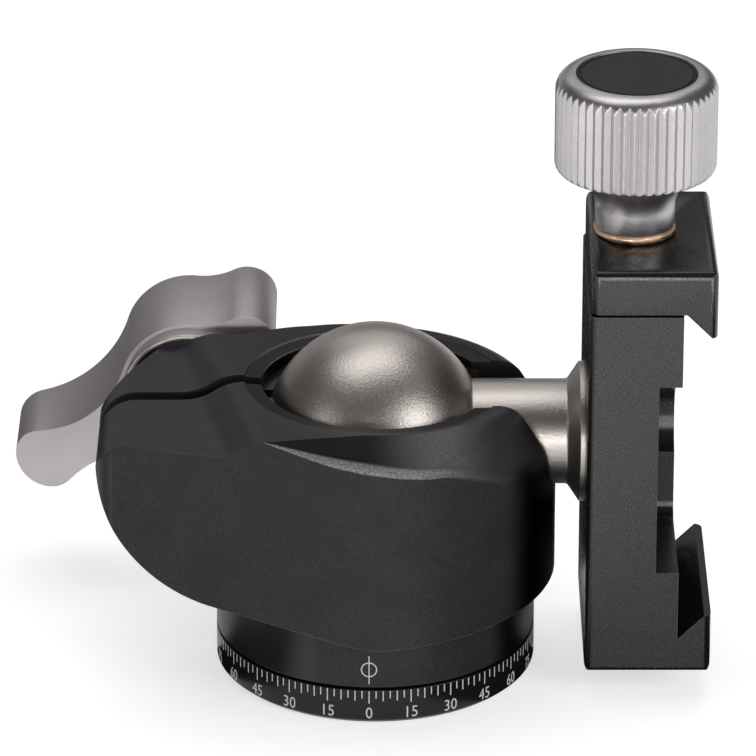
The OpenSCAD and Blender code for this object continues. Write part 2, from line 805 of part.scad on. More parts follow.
// outline of the two-armed wing, drawn round the lever's axis in X and Z
module wing_outline() {
    circle(r = wing_hub_r);
    wing_arm(-long_arm_x, -long_arm_z, long_bulb_r, long_waist_r);
    wing_arm(short_arm_x, short_arm_z, short_bulb_r, short_waist_r);
}

module lever_wing() {
    sweep_x = -lever_x - wing_hub_r - 1;
    tip_x = -lever_x - long_arm_x - long_bulb_r;
    color(champagne) difference() {
        union() {
            lever_disc(boss_y, boss_r, boss_t + OVER);
            translate([-lever_x, 0, lever_z]) along_y(wing_y, wing_end) wing_outline();
        }
        lever_disc(boss_y - OVER, stud_r + seat_fit, wing_end - cap_screw_h - 3 - boss_y + OVER);
        lever_disc(boss_y, cap_thread_r + seat_fit, wing_end - boss_y);
        lever_disc(wing_end - cap_screw_h - 0.4, cap_screw_d / 2 + run_fit, cap_screw_h + OVER);
        // the long arm's face sweeps back from the housing
        linear_extrude(ball_z + housing_d) polygon([
            [sweep_x, wing_y - OVER], [sweep_x, wing_y], [tip_x, wing_y + arm_sweep],
            [tip_x - OVER, wing_y + arm_sweep], [tip_x - OVER, wing_y - OVER]
        ]);
    }
}

module lever_stud() {
    color(steel) difference() {
        lever_disc(-slit_w / 2 - stud_bite, stud_r, wing_end - cap_screw_h - 3 + slit_w / 2 + stud_bite
            - seat_fit - OVER);
        lever_disc(boss_y, cap_thread_r + seat_fit, wing_depth);
    }
}

module lever_cap_screw() {
    head_y = wing_end - cap_screw_h - 0.4;
    color(steel) difference() {
        union() {
            lever_disc(boss_y + 2, cap_thread_r, head_y - boss_y - 2 + OVER);
            lever_disc(head_y, cap_screw_d / 2, cap_screw_h);
        }
        translate([-lever_x, head_y + 0.6, lever_z]) rotate([-90, 0, 0])
            cylinder(r = 2, h = cap_screw_h, $fn = 6);
    }
}

// ---------- ball and stem ----------

module ball() {
    color(champagne) difference() {
        translate([0, 0, ball_z]) sphere(r = ball_r);
        rod_x(ball_r - stem_spigot - 1.5, 0, ball_z, spigot_r + run_fit, ball_r);
        // flat that the stem's shoulder meets
        translate([sqrt(ball_r * ball_r - stem_r * stem_r), -ball_r, ball_z - ball_r])
            cube([ball_r, ball_d, ball_d]);
    }
}

module stem() {
    shoulder_x = sqrt(ball_r * ball_r - stem_r * stem_r);
    color(champagne) difference() {
        union() {
            rod_x(ball_r - stem_spigot, 0, ball_z, spigot_r, stem_spigot + OVER);
            rod_x(shoulder_x + run_fit, 0, ball_z, stem_r, clamp_x - shoulder_x - run_fit);
            translate([cone_x, 0, ball_z]) rotate([0, 90, 0])
                cylinder(r1 = stem_r, r2 = flange_r, h = flange_cone);
            rod_x(cone_x + flange_cone, 0, ball_z, flange_r, flange_rim);
        }
        rod_x(fix_end_x - 1, 0, ball_z, fix_r + seat_fit, clamp_x);
        at_twist_pins(twist_pin_r + seat_fit, seat_fit);
    }
}

// ---------- clamp ----------

// pins that stop the clamp from turning on the flange
module at_twist_pins(r, gap) {
    for (s = [-1, 1]) rod_x(twist_pin_x - gap, 0, ball_z + s * twist_pin_pitch / 2, r,
        twist_pin_l + 2 * gap);
}

// the clamp's two pieces share one outline from the end
module clamp_plan() {
    rounded_rect(clamp_x, -half_w, jaw_x, half_w, clamp_edge_r);
}

// side section of the body with its fixed dovetail jaw
module body_section() {
    e = clamp_edge_r;
    translate([clamp_x, clamp_z + e]) square([clamp_t, clamp_body_h - e]);
    translate([clamp_x + e, clamp_z]) square([clamp_t + jaw_depth - 2 * e, 2 * e]);
    for (x = [clamp_x + e, jaw_x - e]) translate([x, clamp_z + e]) circle(r = e);
    polygon([
        [seat_x - OVER, clamp_z + e], [jaw_x, clamp_z + e], [jaw_x, root_z + undercut],
        [seat_x + undercut, root_z + undercut], [seat_x, root_z], [seat_x - OVER, root_z]
    ]);
}

module clamp_body() {
    color(black) difference() {
        intersection() {
            along_y(-half_w, half_w) body_section();
            translate([0, 0, clamp_z]) linear_extrude(clamp_body_h) clamp_plan();
        }
        // pocket in the plate's seat, open at the front edge
        translate([seat_x - pocket_t, 0, 0]) rotate([0, 90, 0]) rotate([0, 0, 90])
            linear_extrude(pocket_t + OVER)
                rounded_rect(-half_w - 2 * pocket_r - OVER, pocket_z, pocket_reach - half_w,
                    pocket_z + pocket_l, pocket_r);
        // fixing screw, sunk under the plate's seat
        rod_x(clamp_x - OVER, 0, ball_z, fix_r + run_fit * 2, clamp_t + OVER);
        rod_x(fix_head_x, 0, ball_z, fix_head_r + run_fit * 2, clamp_t);
        at_twist_pins(twist_pin_r + seat_fit, seat_fit);
        // thread of the clamp screw, and room for its clip
        rod_z(screw_axis_x, 0, screw_foot - 0.3, screw_r + run_fit, screw_l + OVER);
        rod_z(screw_axis_x, 0, body_top - clip_t - clip_room * 2, clip_r + run_fit * 2, clip_t + OVER);
        for (s = [-1, 1]) {
            rod_z(screw_axis_x, s * pin_pitch / 2, body_top - pin_bite - relief_gap, pin_r + run_fit,
                pin_bite + relief_gap + OVER);
            rod_z(screw_axis_x, s * pin_pitch / 2, body_top - spring_l, spring_hole_r,
                spring_l + OVER);
        }
    }
}

module fixing_screw() {
    color(steel) difference() {
        union() {
            rod_x(fix_end_x, 0, ball_z, fix_r, fix_head_x - fix_end_x + OVER);
            rod_x(fix_head_x, 0, ball_z, fix_head_r, fix_head_h);
        }
        translate([fix_head_x + 0.8, 0, ball_z]) rotate([0, 90, 0])
            cylinder(r = 2.3, h = fix_head_h, $fn = 6);
    }
}

module anti_twist_pins() {
    color(steel) at_twist_pins(twist_pin_r, 0);
}

module guide_pins() {
    color(steel) for (s = [-1, 1]) rod_z(screw_axis_x, s * pin_pitch / 2, body_top - pin_bite,
        pin_r, pin_bite + pin_reach);
}

module jaw_springs() {
    color(steel) for (s = [-1, 1]) translate([screw_axis_x, s * pin_pitch / 2, 0])
        coil(spring_r, wire_d / 2, body_top - spring_l, jaw_z, spring_turns);
}

// side section of the moving jaw with its hooked dovetail
module jaw_section() {
    e = clamp_edge_r;
    translate([clamp_x, jaw_z]) square([clamp_t + jaw_depth, jaw_h - e]);
    translate([clamp_x + e, jaw_z]) square([clamp_t + jaw_depth - 2 * e, jaw_h]);
    for (x = [clamp_x + e, jaw_x - e]) translate([x, jaw_top - e]) circle(r = e);
    polygon([
        [hook_x, jaw_z + OVER], [hook_x, jaw_z], [hook_x + undercut - hook_gap, jaw_z - undercut + hook_gap],
        [jaw_x, jaw_z - undercut + hook_gap], [jaw_x, jaw_z + OVER]
    ]);
}

module moving_jaw() {
    color(black) difference() {
        intersection() {
            along_y(-half_w, half_w) jaw_section();
            translate([0, 0, clamp_z]) linear_extrude(clamp_body_h + jaw_h + OVER) clamp_plan();
        }
        rod_z(screw_axis_x, 0, jaw_z - OVER, screw_r + run_fit, jaw_h + 2 * OVER);
        for (s = [-1, 1]) rod_z(screw_axis_x, s * pin_pitch / 2, jaw_z - OVER, pin_r + seat_fit,
            pin_reach + OVER);
    }
}

// ---------- clamp screw and knob ----------

// half section of the knob's grip under the teeth: chamfered foot, rolled shoulder
module grip_profile() {
    core_r = knob_r - knurl_depth + 0.06;
    polygon([
        [0, 0], [core_r - grip_chamfer, 0], [core_r, grip_chamfer], [core_r, grip_h - shoulder_r],
        [core_r - shoulder_r, grip_h], [0, grip_h]
    ]);
    translate([core_r - shoulder_r, grip_h - shoulder_r]) circle(r = shoulder_r);
}

// half section of the knob's hollow neck
module neck_profile() {
    flare_z = neck_h - waist_r;
    difference() {
        square([knob_r - knurl_depth - grip_chamfer, neck_h + OVER]);
        translate([neck_r + waist_r, flare_z]) circle(r = waist_r);
        translate([neck_r, -OVER]) square([knob_r, flare_z + OVER]);
    }
}

// toothed outline of the grip
module knurl_outline() {
    polygon([
        for (i = [0 : 2 * knurls - 1])
            let (a = 180 * i / knurls, r = knob_r - (i % 2) * knurl_depth) [r * cos(a), r * sin(a)]
    ]);
}

module clamp_knob() {
    color(champagne) translate([screw_axis_x, 0, knob_z]) difference() {
        union() {
            rotate_extrude() neck_profile();
            translate([0, 0, neck_h]) rotate_extrude() grip_profile();
            translate([0, 0, neck_h + grip_chamfer])
                linear_extrude(grip_h - grip_chamfer - shoulder_r) knurl_outline();
        }
        rod_z(0, 0, neck_h + grip_h - inlay_t, inlay_r + seat_fit, inlay_t + OVER);
        rod_z(0, 0, -OVER, screw_r + seat_fit, screw_head - knob_z + OVER + seat_fit);
    }
}

module knob_inlay() {
    color(polymer) rod_z(screw_axis_x, 0, knob_top - inlay_t, inlay_r, inlay_t - 0.1);
}

module clamp_screw() {
    color(steel) difference() {
        rod_z(screw_axis_x, 0, screw_foot, screw_r, screw_head - screw_foot);
        // groove of the clip
        translate([screw_axis_x, 0, 0]) ring(screw_r + OVER, screw_r - 0.5,
            body_top - clip_t - clip_room, clip_t + seat_fit);
    }
}

module screw_clip() {
    color(steel) translate([screw_axis_x, 0, 0]) difference() {
        ring(clip_r, screw_r - 0.5 + seat_fit, body_top - clip_t - clip_room, clip_t);
        translate([0, -1.2, 0]) cube([clip_r + OVER, 2.4, knob_top]);
    }
}

module knob_washer() {
    color(brass) translate([screw_axis_x, 0, 0]) ring(washer_r, screw_r + run_fit, jaw_top, washer_t);
}

base_ring();
tripod_bush();
glide_ring();
wave_washer();
retaining_plate();
retainer_screws();
housing();
socket_liner();
seat_cup();
seat_circlip();
clamping_nut();
pan_lock_shoe();
pan_lock_screw();
pan_lock_knob();
lever_washer();
lever_collar();
lever_wing();
lever_stud();
lever_cap_screw();
ball();
stem();
clamp_body();
fixing_screw();
anti_twist_pins();
guide_pins();
jaw_springs();
moving_jaw();
knob_washer();
clamp_knob();
knob_inlay();
clamp_screw();
screw_clip();
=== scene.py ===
"""Looks of a low-profile tripod ball head: split housing, wing lever, panning base, dovetail clamp.

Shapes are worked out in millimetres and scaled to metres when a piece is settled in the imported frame.
"""

import logging
import math
from dataclasses import dataclass, field
from enum import Enum
from typing import Any, Sequence

import bmesh
import bpy
from mathutils import Matrix, Vector


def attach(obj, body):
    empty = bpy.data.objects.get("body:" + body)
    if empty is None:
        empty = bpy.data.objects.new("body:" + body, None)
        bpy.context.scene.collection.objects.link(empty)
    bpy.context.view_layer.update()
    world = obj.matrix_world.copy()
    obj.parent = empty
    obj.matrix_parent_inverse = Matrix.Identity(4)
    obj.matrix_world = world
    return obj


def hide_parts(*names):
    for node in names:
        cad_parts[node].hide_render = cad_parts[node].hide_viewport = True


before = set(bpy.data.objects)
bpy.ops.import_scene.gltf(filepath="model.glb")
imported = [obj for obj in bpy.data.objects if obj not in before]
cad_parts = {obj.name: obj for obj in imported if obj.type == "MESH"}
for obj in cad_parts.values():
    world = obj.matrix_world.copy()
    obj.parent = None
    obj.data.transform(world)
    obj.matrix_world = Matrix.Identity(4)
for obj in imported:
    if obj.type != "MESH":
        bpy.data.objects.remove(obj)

log = logging.getLogger("ball_head")

MM = 0.001
Point = tuple[float, float]
Spot = tuple[float, float, float]
Colour = tuple[float, float, float]
Sizes = tuple[float, ...]


# ---------- shader maths and node trees ----------


class Term:
    """A socket in a node tree that ordinary arithmetic can be done on."""

    def __init__(self, bench: "Bench", socket: bpy.types.NodeSocket) -> None:
        """Wraps a socket of one tree."""
        self.bench = bench
        self.socket = socket

    def maths(self, operation: str, *others: "Term | float") -> "Term":
        """Adds a Math node whose first value is this term.

        Args:
            operation: Name of the Math node's operation.
            others: Numbers or terms for its further sockets, in order.

        Returns:
            The node's result.
        """
        return self.bench.add("ShaderNodeMath", {"operation": operation}, dict(enumerate((self, *others))))

    def __add__(self, other: "Term | float") -> "Term":
        """Sum of both."""
        return self.maths("ADD", other)

    __radd__ = __add__

    def __sub__(self, other: "Term | float") -> "Term":
        """Difference of both."""
        return self.maths("SUBTRACT", other)

    def __rsub__(self, other: float) -> "Term":
        """Number minus this term."""
        return self.bench.add("ShaderNodeMath", {"operation": "SUBTRACT"}, {0: other, 1: self})

    def __mul__(self, other: "Term | float") -> "Term":
        """Product of both."""
        return self.maths("MULTIPLY", other)

    __rmul__ = __mul__

    def __truediv__(self, other: "Term | float") -> "Term":
        """Quotient of both."""
        return self.maths("DIVIDE", other)

    def __pow__(self, other: float) -> "Term":
        """This term raised to a power."""
        return self.maths("POWER", other)

    def least(self, other: "Term | float") -> "Term":
        """Smaller of both."""
        return self.maths("MINIMUM", other)

    def most(self, other: "Term | float") -> "Term":
        """Larger of both."""
        return self.maths("MAXIMUM", other)

    def absolute(self) -> "Term":
        """Size without sign."""
        return self.maths("ABSOLUTE")

    def fraction(self) -> "Term":
        """Part after the decimal point."""
        return self.maths("FRACT")

    def ramp(self, low: float, high: float) -> "Term":
        """Smooth step from 0 to 1.

        Args:
            low: Value up to which the step is 0.
            high: Value from which it is 1.

        Returns:
            The step.
        """
        return self.bench.add(
            "ShaderNodeMapRange",
            {"interpolation_type": "SMOOTHSTEP"},
            {"Value": self, "From Min": low, "From Max": high},
        )


class Bench:
    """A node tree with one way to add any node."""

    def __init__(self, tree: bpy.types.NodeTree) -> None:
        """Takes the tree that the nodes go into."""
        self.tree = tree

    def node(
        self, kind: str, settings: dict[str, Any] | None = None, inputs: dict[Any, Any] | None = None
    ) -> bpy.types.Node:
        """Adds a node, with its settings first and its sockets after them.

        Args:
            kind: Blender's name of the node type.
            settings: Attributes of the node; "stops" are a ramp's positions and colours.
            inputs: Values or terms by socket name or number.

        Returns:
            The new node.
        """
        made = self.tree.nodes.new(kind)
        for name, value in (settings or {}).items():
            if name == "stops":
                ramp = made.color_ramp.elements
                while len(ramp) < len(value):
                    ramp.new(0.5)
                for element, (place, colour) in zip(ramp, value):
                    element.position, element.color = place, (*colour, 1.0)
            else:
                setattr(made, name, value)
        for key, value in (inputs or {}).items():
            if isinstance(value, Term):
                self.tree.links.new(value.socket, made.inputs[key])
            else:
                made.inputs[key].default_value = value
        return made

    def add(
        self,
        kind: str,
        settings: dict[str, Any] | None = None,
        inputs: dict[Any, Any] | None = None,
        output: int | str = 0,
    ) -> Term:
        """Adds a node and gives one of its outputs.

        Args:
            kind: Blender's name of the node type.
            settings: Attributes of the node.
            inputs: Values or terms by socket name or number.
            output: Name or number of the wanted output.

        Returns:
            The output as a term.
        """
        return Term(self, self.node(kind, settings, inputs).outputs[output])

    def place(self, stretch: Spot = (1.0, 1.0, 1.0)) -> Term:
        """Object coordinates in millimetres.

        Args:
            stretch: Scale along each axis.

        Returns:
            The coordinates.
        """
        spot = self.add("ShaderNodeTexCoord", output="Object")
        scale = tuple(s / MM for s in stretch)
        return self.add("ShaderNodeVectorMath", {"operation": "MULTIPLY"}, {0: spot, 1: scale})

    def split(self, vector: Term) -> list[Term]:
        """X, Y and Z parts of a vector."""
        parts = self.node("ShaderNodeSeparateXYZ", inputs={0: vector})
        return [Term(self, socket) for socket in parts.outputs]

    def facing(self) -> list[Term]:
        """Parts of the surface's direction, as the piece stands at rest."""
        return self.split(self.add("ShaderNodeTexCoord", output="Normal"))

    def noise(self, size: float, detail: float = 2.0, stretch: Spot = (1, 1, 1)) -> Term:
        """Even noise about 0.5.

        Args:
            size: Width of one blotch in millimetres.
            detail: Octaves of finer noise.
            stretch: Scale of the coordinates along the axes.

        Returns:
            The noise value.
        """
        return self.add(
            "ShaderNodeTexNoise",
            {"noise_dimensions": "3D"},
            {"Vector": self.place(stretch), "Scale": 1.0 / size, "Detail": detail, "Roughness": 0.55},
        )

    def blend(self, share: Term | float, low: Any, high: Any) -> Term:
        """Mixes two colours.

        Args:
            share: How much of the second colour shows.
            low: Colour or term shown at 0.
            high: Colour or term shown at 1.

        Returns:
            The mixed colour.
        """
        paint = [(*c, 1.0) if isinstance(c, tuple) and len(c) == 3 else c for c in (low, high)]
        return self.add(
            "ShaderNodeMix", {"data_type": "RGBA"}, {0: share, 6: paint[0], 7: paint[1]}, output=2
        )

    def edge(self, radius: float) -> tuple[Term, Term]:
        """Rounds the edges in shading and finds them.

        Args:
            radius: Radius of the rounding in millimetres.

        Returns:
            The rounded normal, and a mask that is 1 on the edges.
        """
        soft = self.add("ShaderNodeBevel", {"samples": 6}, {"Radius": radius * MM})
        plain = self.add("ShaderNodeNewGeometry", output="Normal")
        same = self.add(
            "ShaderNodeVectorMath", {"operation": "DOT_PRODUCT"}, {0: soft, 1: plain}, output="Value"
        )
        return soft, (1.0 - same).ramp(0.02, 0.22)

    def relief(self, height: Term, depth: float, under: Term | None = None) -> Term:
        """Bumps a surface.

        Args:
            height: Height from 0 to 1.
            depth: Depth of the relief in millimetres.
            under: Normal that the bumps are laid on.

        Returns:
            The bumped normal.
        """
        sockets: dict[Any, Any] = {"Height": height, "Distance": depth * MM, "Strength": 1.0}
        if under is not None:
            sockets["Normal"] = under
        return self.add("ShaderNodeBump", inputs=sockets, output="Normal")


# ---------- finishes ----------


def shade(colour: Colour, factor: float, lift: float = 0.0) -> Colour:
    """Colour times a factor plus a lift, no part of it over 1."""
    return tuple(min(1.0, part * factor + lift) for part in colour)


@dataclass(frozen=True)
class Finish:
    """What every finish has: a name, a colour and plain shader values."""

    name: str
    colour: Colour
    metallic: float = 0.0
    roughness: float = 0.4
    specular: float = 0.5

    def recipe(self, bench: Bench) -> dict[str, Any]:
        """Sockets of the shader that vary over the surface."""
        return {}

    def material(self) -> bpy.types.Material:
        """Makes the material, or gives the one that was made before.

        Returns:
            The material in this finish's name.
        """
        known = bpy.data.materials.get(self.name)
        if known is not None:
            return known
        made = bpy.data.materials.new(self.name)
        made.use_nodes = True
        made.node_tree.nodes.clear()
        bench = Bench(made.node_tree)
        sockets: dict[str, Any] = {
            "Base Color": (*self.colour, 1.0),
            "Metallic": self.metallic,
            "Roughness": self.roughness,
            "Specular IOR Level": self.specular,
        }
        sockets.update(self.recipe(bench))
        shader = bench.add("ShaderNodeBsdfPrincipled", inputs=sockets)
        bench.node("ShaderNodeOutputMaterial", inputs={"Surface": shader})
        return made


@dataclass(frozen=True)
class BlastedMetal(Finish):
    """Bead-blasted and anodised aluminium, worn bright along its edges."""

    grain: float = 0.22
    grain_depth: float = 0.006
    speckle: float = 0.2
    cloud: float = 0.12
    worn: Colour = (0.75, 0.72, 0.68)
    wear: float = 0.5
    edge_radius: float = 0.18

    def recipe(self, bench: Bench) -> dict[str, Any]:
        """Grain, clouds, speckles and bright edges.

        Args:
            bench: Tree of the material.

        Returns:
            Links for the shader's varying sockets.
        """
        grain = bench.noise(self.grain, 3.0)
        fine = bench.noise(self.grain * 0.45, 2.0)
        cloud = bench.noise(6.0, 3.0)
        soft, edges = bench.edge(self.edge_radius)
        dark = shade(self.colour, 1.0 - self.cloud)
        colour = bench.blend(cloud.ramp(0.35, 0.7) * 0.6, self.colour, dark)
        bright = shade(self.colour, 1.0 + 2.2 * self.speckle, 0.02 * self.speckle)
        colour = bench.blend(fine.ramp(0.56, 0.74) * self.speckle, colour, bright)
        rub = edges * (bench.noise(0.9, 3.0).ramp(0.3, 0.62) * 0.6 + 0.4) * self.wear
        colour = bench.blend(rub, colour, self.worn)
        rough = self.roughness + (grain - 0.5) * 0.16 - rub * 0.12
        return {
            "Base Color": colour,
            "Roughness": rough,
            "Normal": bench.relief(grain * 0.6 + fine * 0.4, self.grain_depth, soft),
        }


@dataclass(frozen=True)
class HousingMetal(Finish):
    """Black housing: coarse blasted walls, smooth tops, a dull crown darkened as painted shade, and a painted
    highlight along the ridge.
    """

    wall: Colour = (0.0148, 0.0136, 0.0154)
    # near-black painted shade, laid on the crown slope, the right flank, the nose and the band round the
    # mouth
    crown: Colour = (0.005, 0.0048, 0.005)
    # pale colour of the rubbed edges, and also of the painted highlight on the ridge under the crown and the
    # painted sheen beside it
    rubbed: Colour = (0.3, 0.29, 0.3)
    band_r: Sizes = (14.6, 14.9)  # radii between which the painted shade on the band round the mouth ends

    def areas(self, bench: Bench) -> dict[str, Term]:
        """Tells the surfaces apart by where they face and where they lie.

        Args:
            bench: Tree of the material.

        Returns:
            Masks: wall for the blasted walls, flank for the right end, dark for the painted shade on the
                flank, the nose and the band round the mouth, crown for the painted shade on the slope above
                the front wall, and ridge for the painted highlight on the edge below that slope and the
                painted sheen to its right.
        """
        right, back, up = bench.facing()
        x, y, _ = bench.split(bench.place())
        ahead = back.absolute().ramp(0.06, 0.3)
        past_nose = right.ramp(-0.42, -0.32)
        past_ears = x.ramp(-18.0, -11.0)
        sloped = 1.0 - up.ramp(0.972, 0.994)
        # right end, which gets painted shade
        flank = right.ramp(0.7, 0.88)
        # faces turned to the left end, which get painted shade
        nose = (1.0 - right.ramp(-0.62, -0.38)) * (1.0 - up.ramp(0.3, 0.7))
        # band round the mouth, which gets painted shade
        band = (1.0 - ((x * x + y * y) ** 0.5).ramp(*self.band_r)) * up.ramp(0.5, 0.8)
        # edge under the crown, which gets a painted highlight
        edge = up.ramp(0.03, 0.16) * (1.0 - up.ramp(0.72, 0.9)) * ahead * past_nose
        # painted sheen on the front right of the crown
        sheen = x.ramp(0.0, 9.0) * (1.0 - x.ramp(8.0, 14.0)) * ahead * up.ramp(0.1, 0.3) * sloped
        return {
            "wall": (1.0 - up.ramp(0.05, 0.3)) * past_nose,
            "flank": flank,
            "dark": band.most(nose).most(flank) * 0.9,
            "crown": up.ramp(0.78, 0.92) * ahead * past_ears * sloped * (1.0 - x.ramp(-3.0, 9.0)),
            "ridge": (edge * past_ears * (1.0 - x.ramp(3.0, 13.0))).most(sheen * 0.42),
        }

    def recipe(self, bench: Bench) -> dict[str, Any]:
        """Grain, clouds, rubbed edges, painted shade and painted highlights, laid on area by area.

        Args:
            bench: Tree of the material.

        Returns:
            Links for the shader's varying sockets.
        """
        area = self.areas(bench)
        grain = bench.noise(0.2, 3.0)
        speck = bench.noise(0.11, 2.0)
        cloud = bench.noise(5.0, 3.0)
        soft, edges = bench.edge(0.2)
        walls = bench.blend(speck.ramp(0.42, 0.75) * 0.8, self.wall, shade(self.wall, 3.6))
        walls = bench.blend(cloud.ramp(0.35, 0.7) * 0.35, walls, shade(self.wall, 0.7))
        tops = bench.blend(cloud.ramp(0.3, 0.7) * 0.4, self.colour, shade(self.colour, 0.75))
        colour = bench.blend(area["wall"], tops, walls)
        # painted shade: flank, nose, mouth band and crown slope go near black
        colour = bench.blend(area["dark"], colour, self.crown)
        colour = bench.blend(area["crown"], colour, self.crown)
        # painted highlight along the ridge under the crown, and painted sheen to its right
        colour = bench.blend(area["ridge"] * (speck.ramp(0.38, 0.66) * 0.75 + 0.2), colour, self.rubbed)
        rub = edges * (speck.ramp(0.35, 0.65) * 0.7 + 0.3) * 0.55
        colour = bench.blend(rub, colour, self.rubbed)
        coarse = area["wall"] * (1.0 - area["flank"]) * 0.85 + 0.15
        rough = self.roughness + area["wall"] * 0.06 - area["ridge"] * 0.06
        return {
            "Base Color": colour,
            # near-black metal on the crown and flank takes their reflection away: part of the painted shade
            "Metallic": area["crown"].most(area["flank"]),
            "Roughness": rough + (grain - 0.5) * 0.16 * coarse,
            "Normal": bench.relief((grain * 0.6 + speck * 0.4 - 0.5) * coarse, 0.035, soft),
        }


@dataclass(frozen=True)
class ClampMetal(Finish):
    """Black clamp: grainy end faces, smooth roundings and sides, worn edges, and a painted highlight line on
    the roundings next to the end faces.
    """

    grainy: Colour = (0.022, 0.023, 0.025)
    sparkle: Colour = (0.24, 0.245, 0.265)
    # pale colour of the worn edges, and also of the painted highlight line
    worn: Colour = (0.5, 0.5, 0.52)

    def recipe(self, bench: Bench) -> dict[str, Any]:
        """End faces and roundings told apart by the surface's direction, with a painted highlight line
        between them.

        Args:
            bench: Tree of the material.

        Returns:
            Links for the shader's varying sockets.
        """
        _, along, up = bench.facing()
        ends = along.absolute().ramp(0.9, 0.985)
        # painted highlight: a thin bright line low on the roundings next to the end faces
        line = up.ramp(0.05, 0.16) * (1.0 - up.ramp(0.3, 0.42)) * along.absolute().ramp(0.8, 0.92)
        grain = bench.noise(0.26, 3.0)
        fine = bench.noise(0.12, 2.0)
        soft, edges = bench.edge(0.12)
        speck = fine.ramp(0.52, 0.78)
        face = bench.blend(speck * 0.75, self.grainy, self.sparkle)
        colour = bench.blend(ends, self.colour, face)
        rub = edges * (fine.ramp(0.4, 0.6) * 0.7 + 0.15) * 0.55
        # the painted highlight line joins the worn edges here
        rub = rub.most(line * (fine.ramp(0.32, 0.6) * 0.3 + 0.08))
        colour = bench.blend(rub, colour, self.worn)
        return {
            "Base Color": colour,
            "Roughness": self.roughness + ends * 0.16 + (grain - 0.5) * 0.12,
            "Normal": bench.relief((grain * 0.6 + fine * 0.4 - 0.5) * (ends * 0.9 + 0.1), 0.03, soft),
        }


@dataclass(frozen=True)
class TurnedSteel(Finish):
    """Turned or drawn steel with fine tool lines and a thin film of oil."""

    line: float = 0.05
    stretch: Spot = (1.0, 1.0, 0.05)
    worn: Colour = (0.85, 0.85, 0.86)

    def recipe(self, bench: Bench) -> dict[str, Any]:
        """Tool lines, stains and bright edges.

        Args:
            bench: Tree of the material.

        Returns:
            Links for the shader's varying sockets.
        """
        lines = bench.noise(self.line, 2.0, self.stretch)
        film = bench.noise(2.4, 4.0)
        soft, edges = bench.edge(0.1)
        colour = bench.blend(film.ramp(0.38, 0.68) * 0.7, self.colour, shade(self.colour, 0.72))
        colour = bench.blend(edges * 0.5, colour, self.worn)
        return {
            "Base Color": colour,
            "Roughness": self.roughness + (film - 0.5) * 0.24 + (lines - 0.5) * 0.12,
            "Normal": bench.relief(lines, 0.004, soft),
        }


@dataclass(frozen=True)
class WornBronze(Finish):
    """Bronze that rubs on its neighbours: bright where it runs, brown where grease sits."""

    film: Colour = (0.88, 0.62, 0.44)
    worn: Colour = (0.85, 0.6, 0.36)

    def recipe(self, bench: Bench) -> dict[str, Any]:
        """Rubbed patches, brown film and small dents.

        Args:
            bench: Tree of the material.

        Returns:
            Links for the shader's varying sockets.
        """
        patch = bench.noise(1.1, 4.0, (1.0, 1.0, 2.4))
        dent = bench.noise(0.3, 3.0)
        soft, edges = bench.edge(0.08)
        colour = bench.blend(patch.ramp(0.4, 0.62), self.film, self.colour)
        colour = bench.blend(edges * 0.7, colour, self.worn)
        return {
            "Base Color": colour,
            "Roughness": self.roughness + 0.3 * patch.ramp(0.62, 0.38) + (dent - 0.5) * 0.1,
            "Normal": bench.relief(dent * 0.6 + patch * 0.4, 0.03, soft),
        }


@dataclass(frozen=True)
class MouldedPolymer(Finish):
    """Moulded acetal with flow clouds and a fine satin skin."""

    skin: float = 0.12

    def recipe(self, bench: Bench) -> dict[str, Any]:
        """Flow clouds, skin and rubbed edges.

        Args:
            bench: Tree of the material.

        Returns:
            Links for the shader's varying sockets.
        """
        flow = bench.noise(3.5, 3.0, (1.0, 1.0, 0.5))
        skin = bench.noise(self.skin, 2.0)
        soft, edges = bench.edge(0.12)
        colour = bench.blend(flow.ramp(0.35, 0.7) * 0.5, self.colour, shade(self.colour, 1.35, 0.012))
        colour = bench.blend(edges * 0.35, colour, shade(self.colour, 1.8, 0.03))
        return {
            "Base Color": colour,
            "Roughness": self.roughness + (flow - 0.5) * 0.14 + (skin - 0.5) * 0.08,
            "Normal": bench.relief(skin, 0.003, soft),
        }


@dataclass(frozen=True)
class MarkPaint(Finish):
    """Engraved and filled marks: pale paint, a little broken."""

    def recipe(self, bench: Bench) -> dict[str, Any]:
        """Broken colour and a chalky surface.

        Args:
            bench: Tree of the material.

        Returns:
            Links for the shader's varying sockets.
        """
        broken = bench.noise(0.35, 3.0)
        colour = bench.blend(broken.ramp(0.5, 0.75) * 0.45, self.colour, shade(self.colour, 0.6))
        return {
            "Base Color": colour,
            "Roughness": self.roughness + (broken - 0.5) * 0.2,
            "Normal": bench.relief(broken, 0.006),
        }


@dataclass(frozen=True)
class FloorPaper(Finish):
    """Plain pale studio paper, lit a little from below."""

    glow: float = 0.62

    def recipe(self, bench: Bench) -> dict[str, Any]:
        """Barely uneven paper.

        Args:
            bench: Tree of the material.

        Returns:
            Links for the shader's varying sockets, and the even glow.
        """
        tooth = bench.noise(0.8, 2.0)
        colour = bench.blend(tooth * 0.05, self.colour, shade(self.colour, 0.94))
        return {"Base Color": colour, "Emission Color": (1.0, 1.0, 1.0, 1.0), "Emission Strength": self.glow}


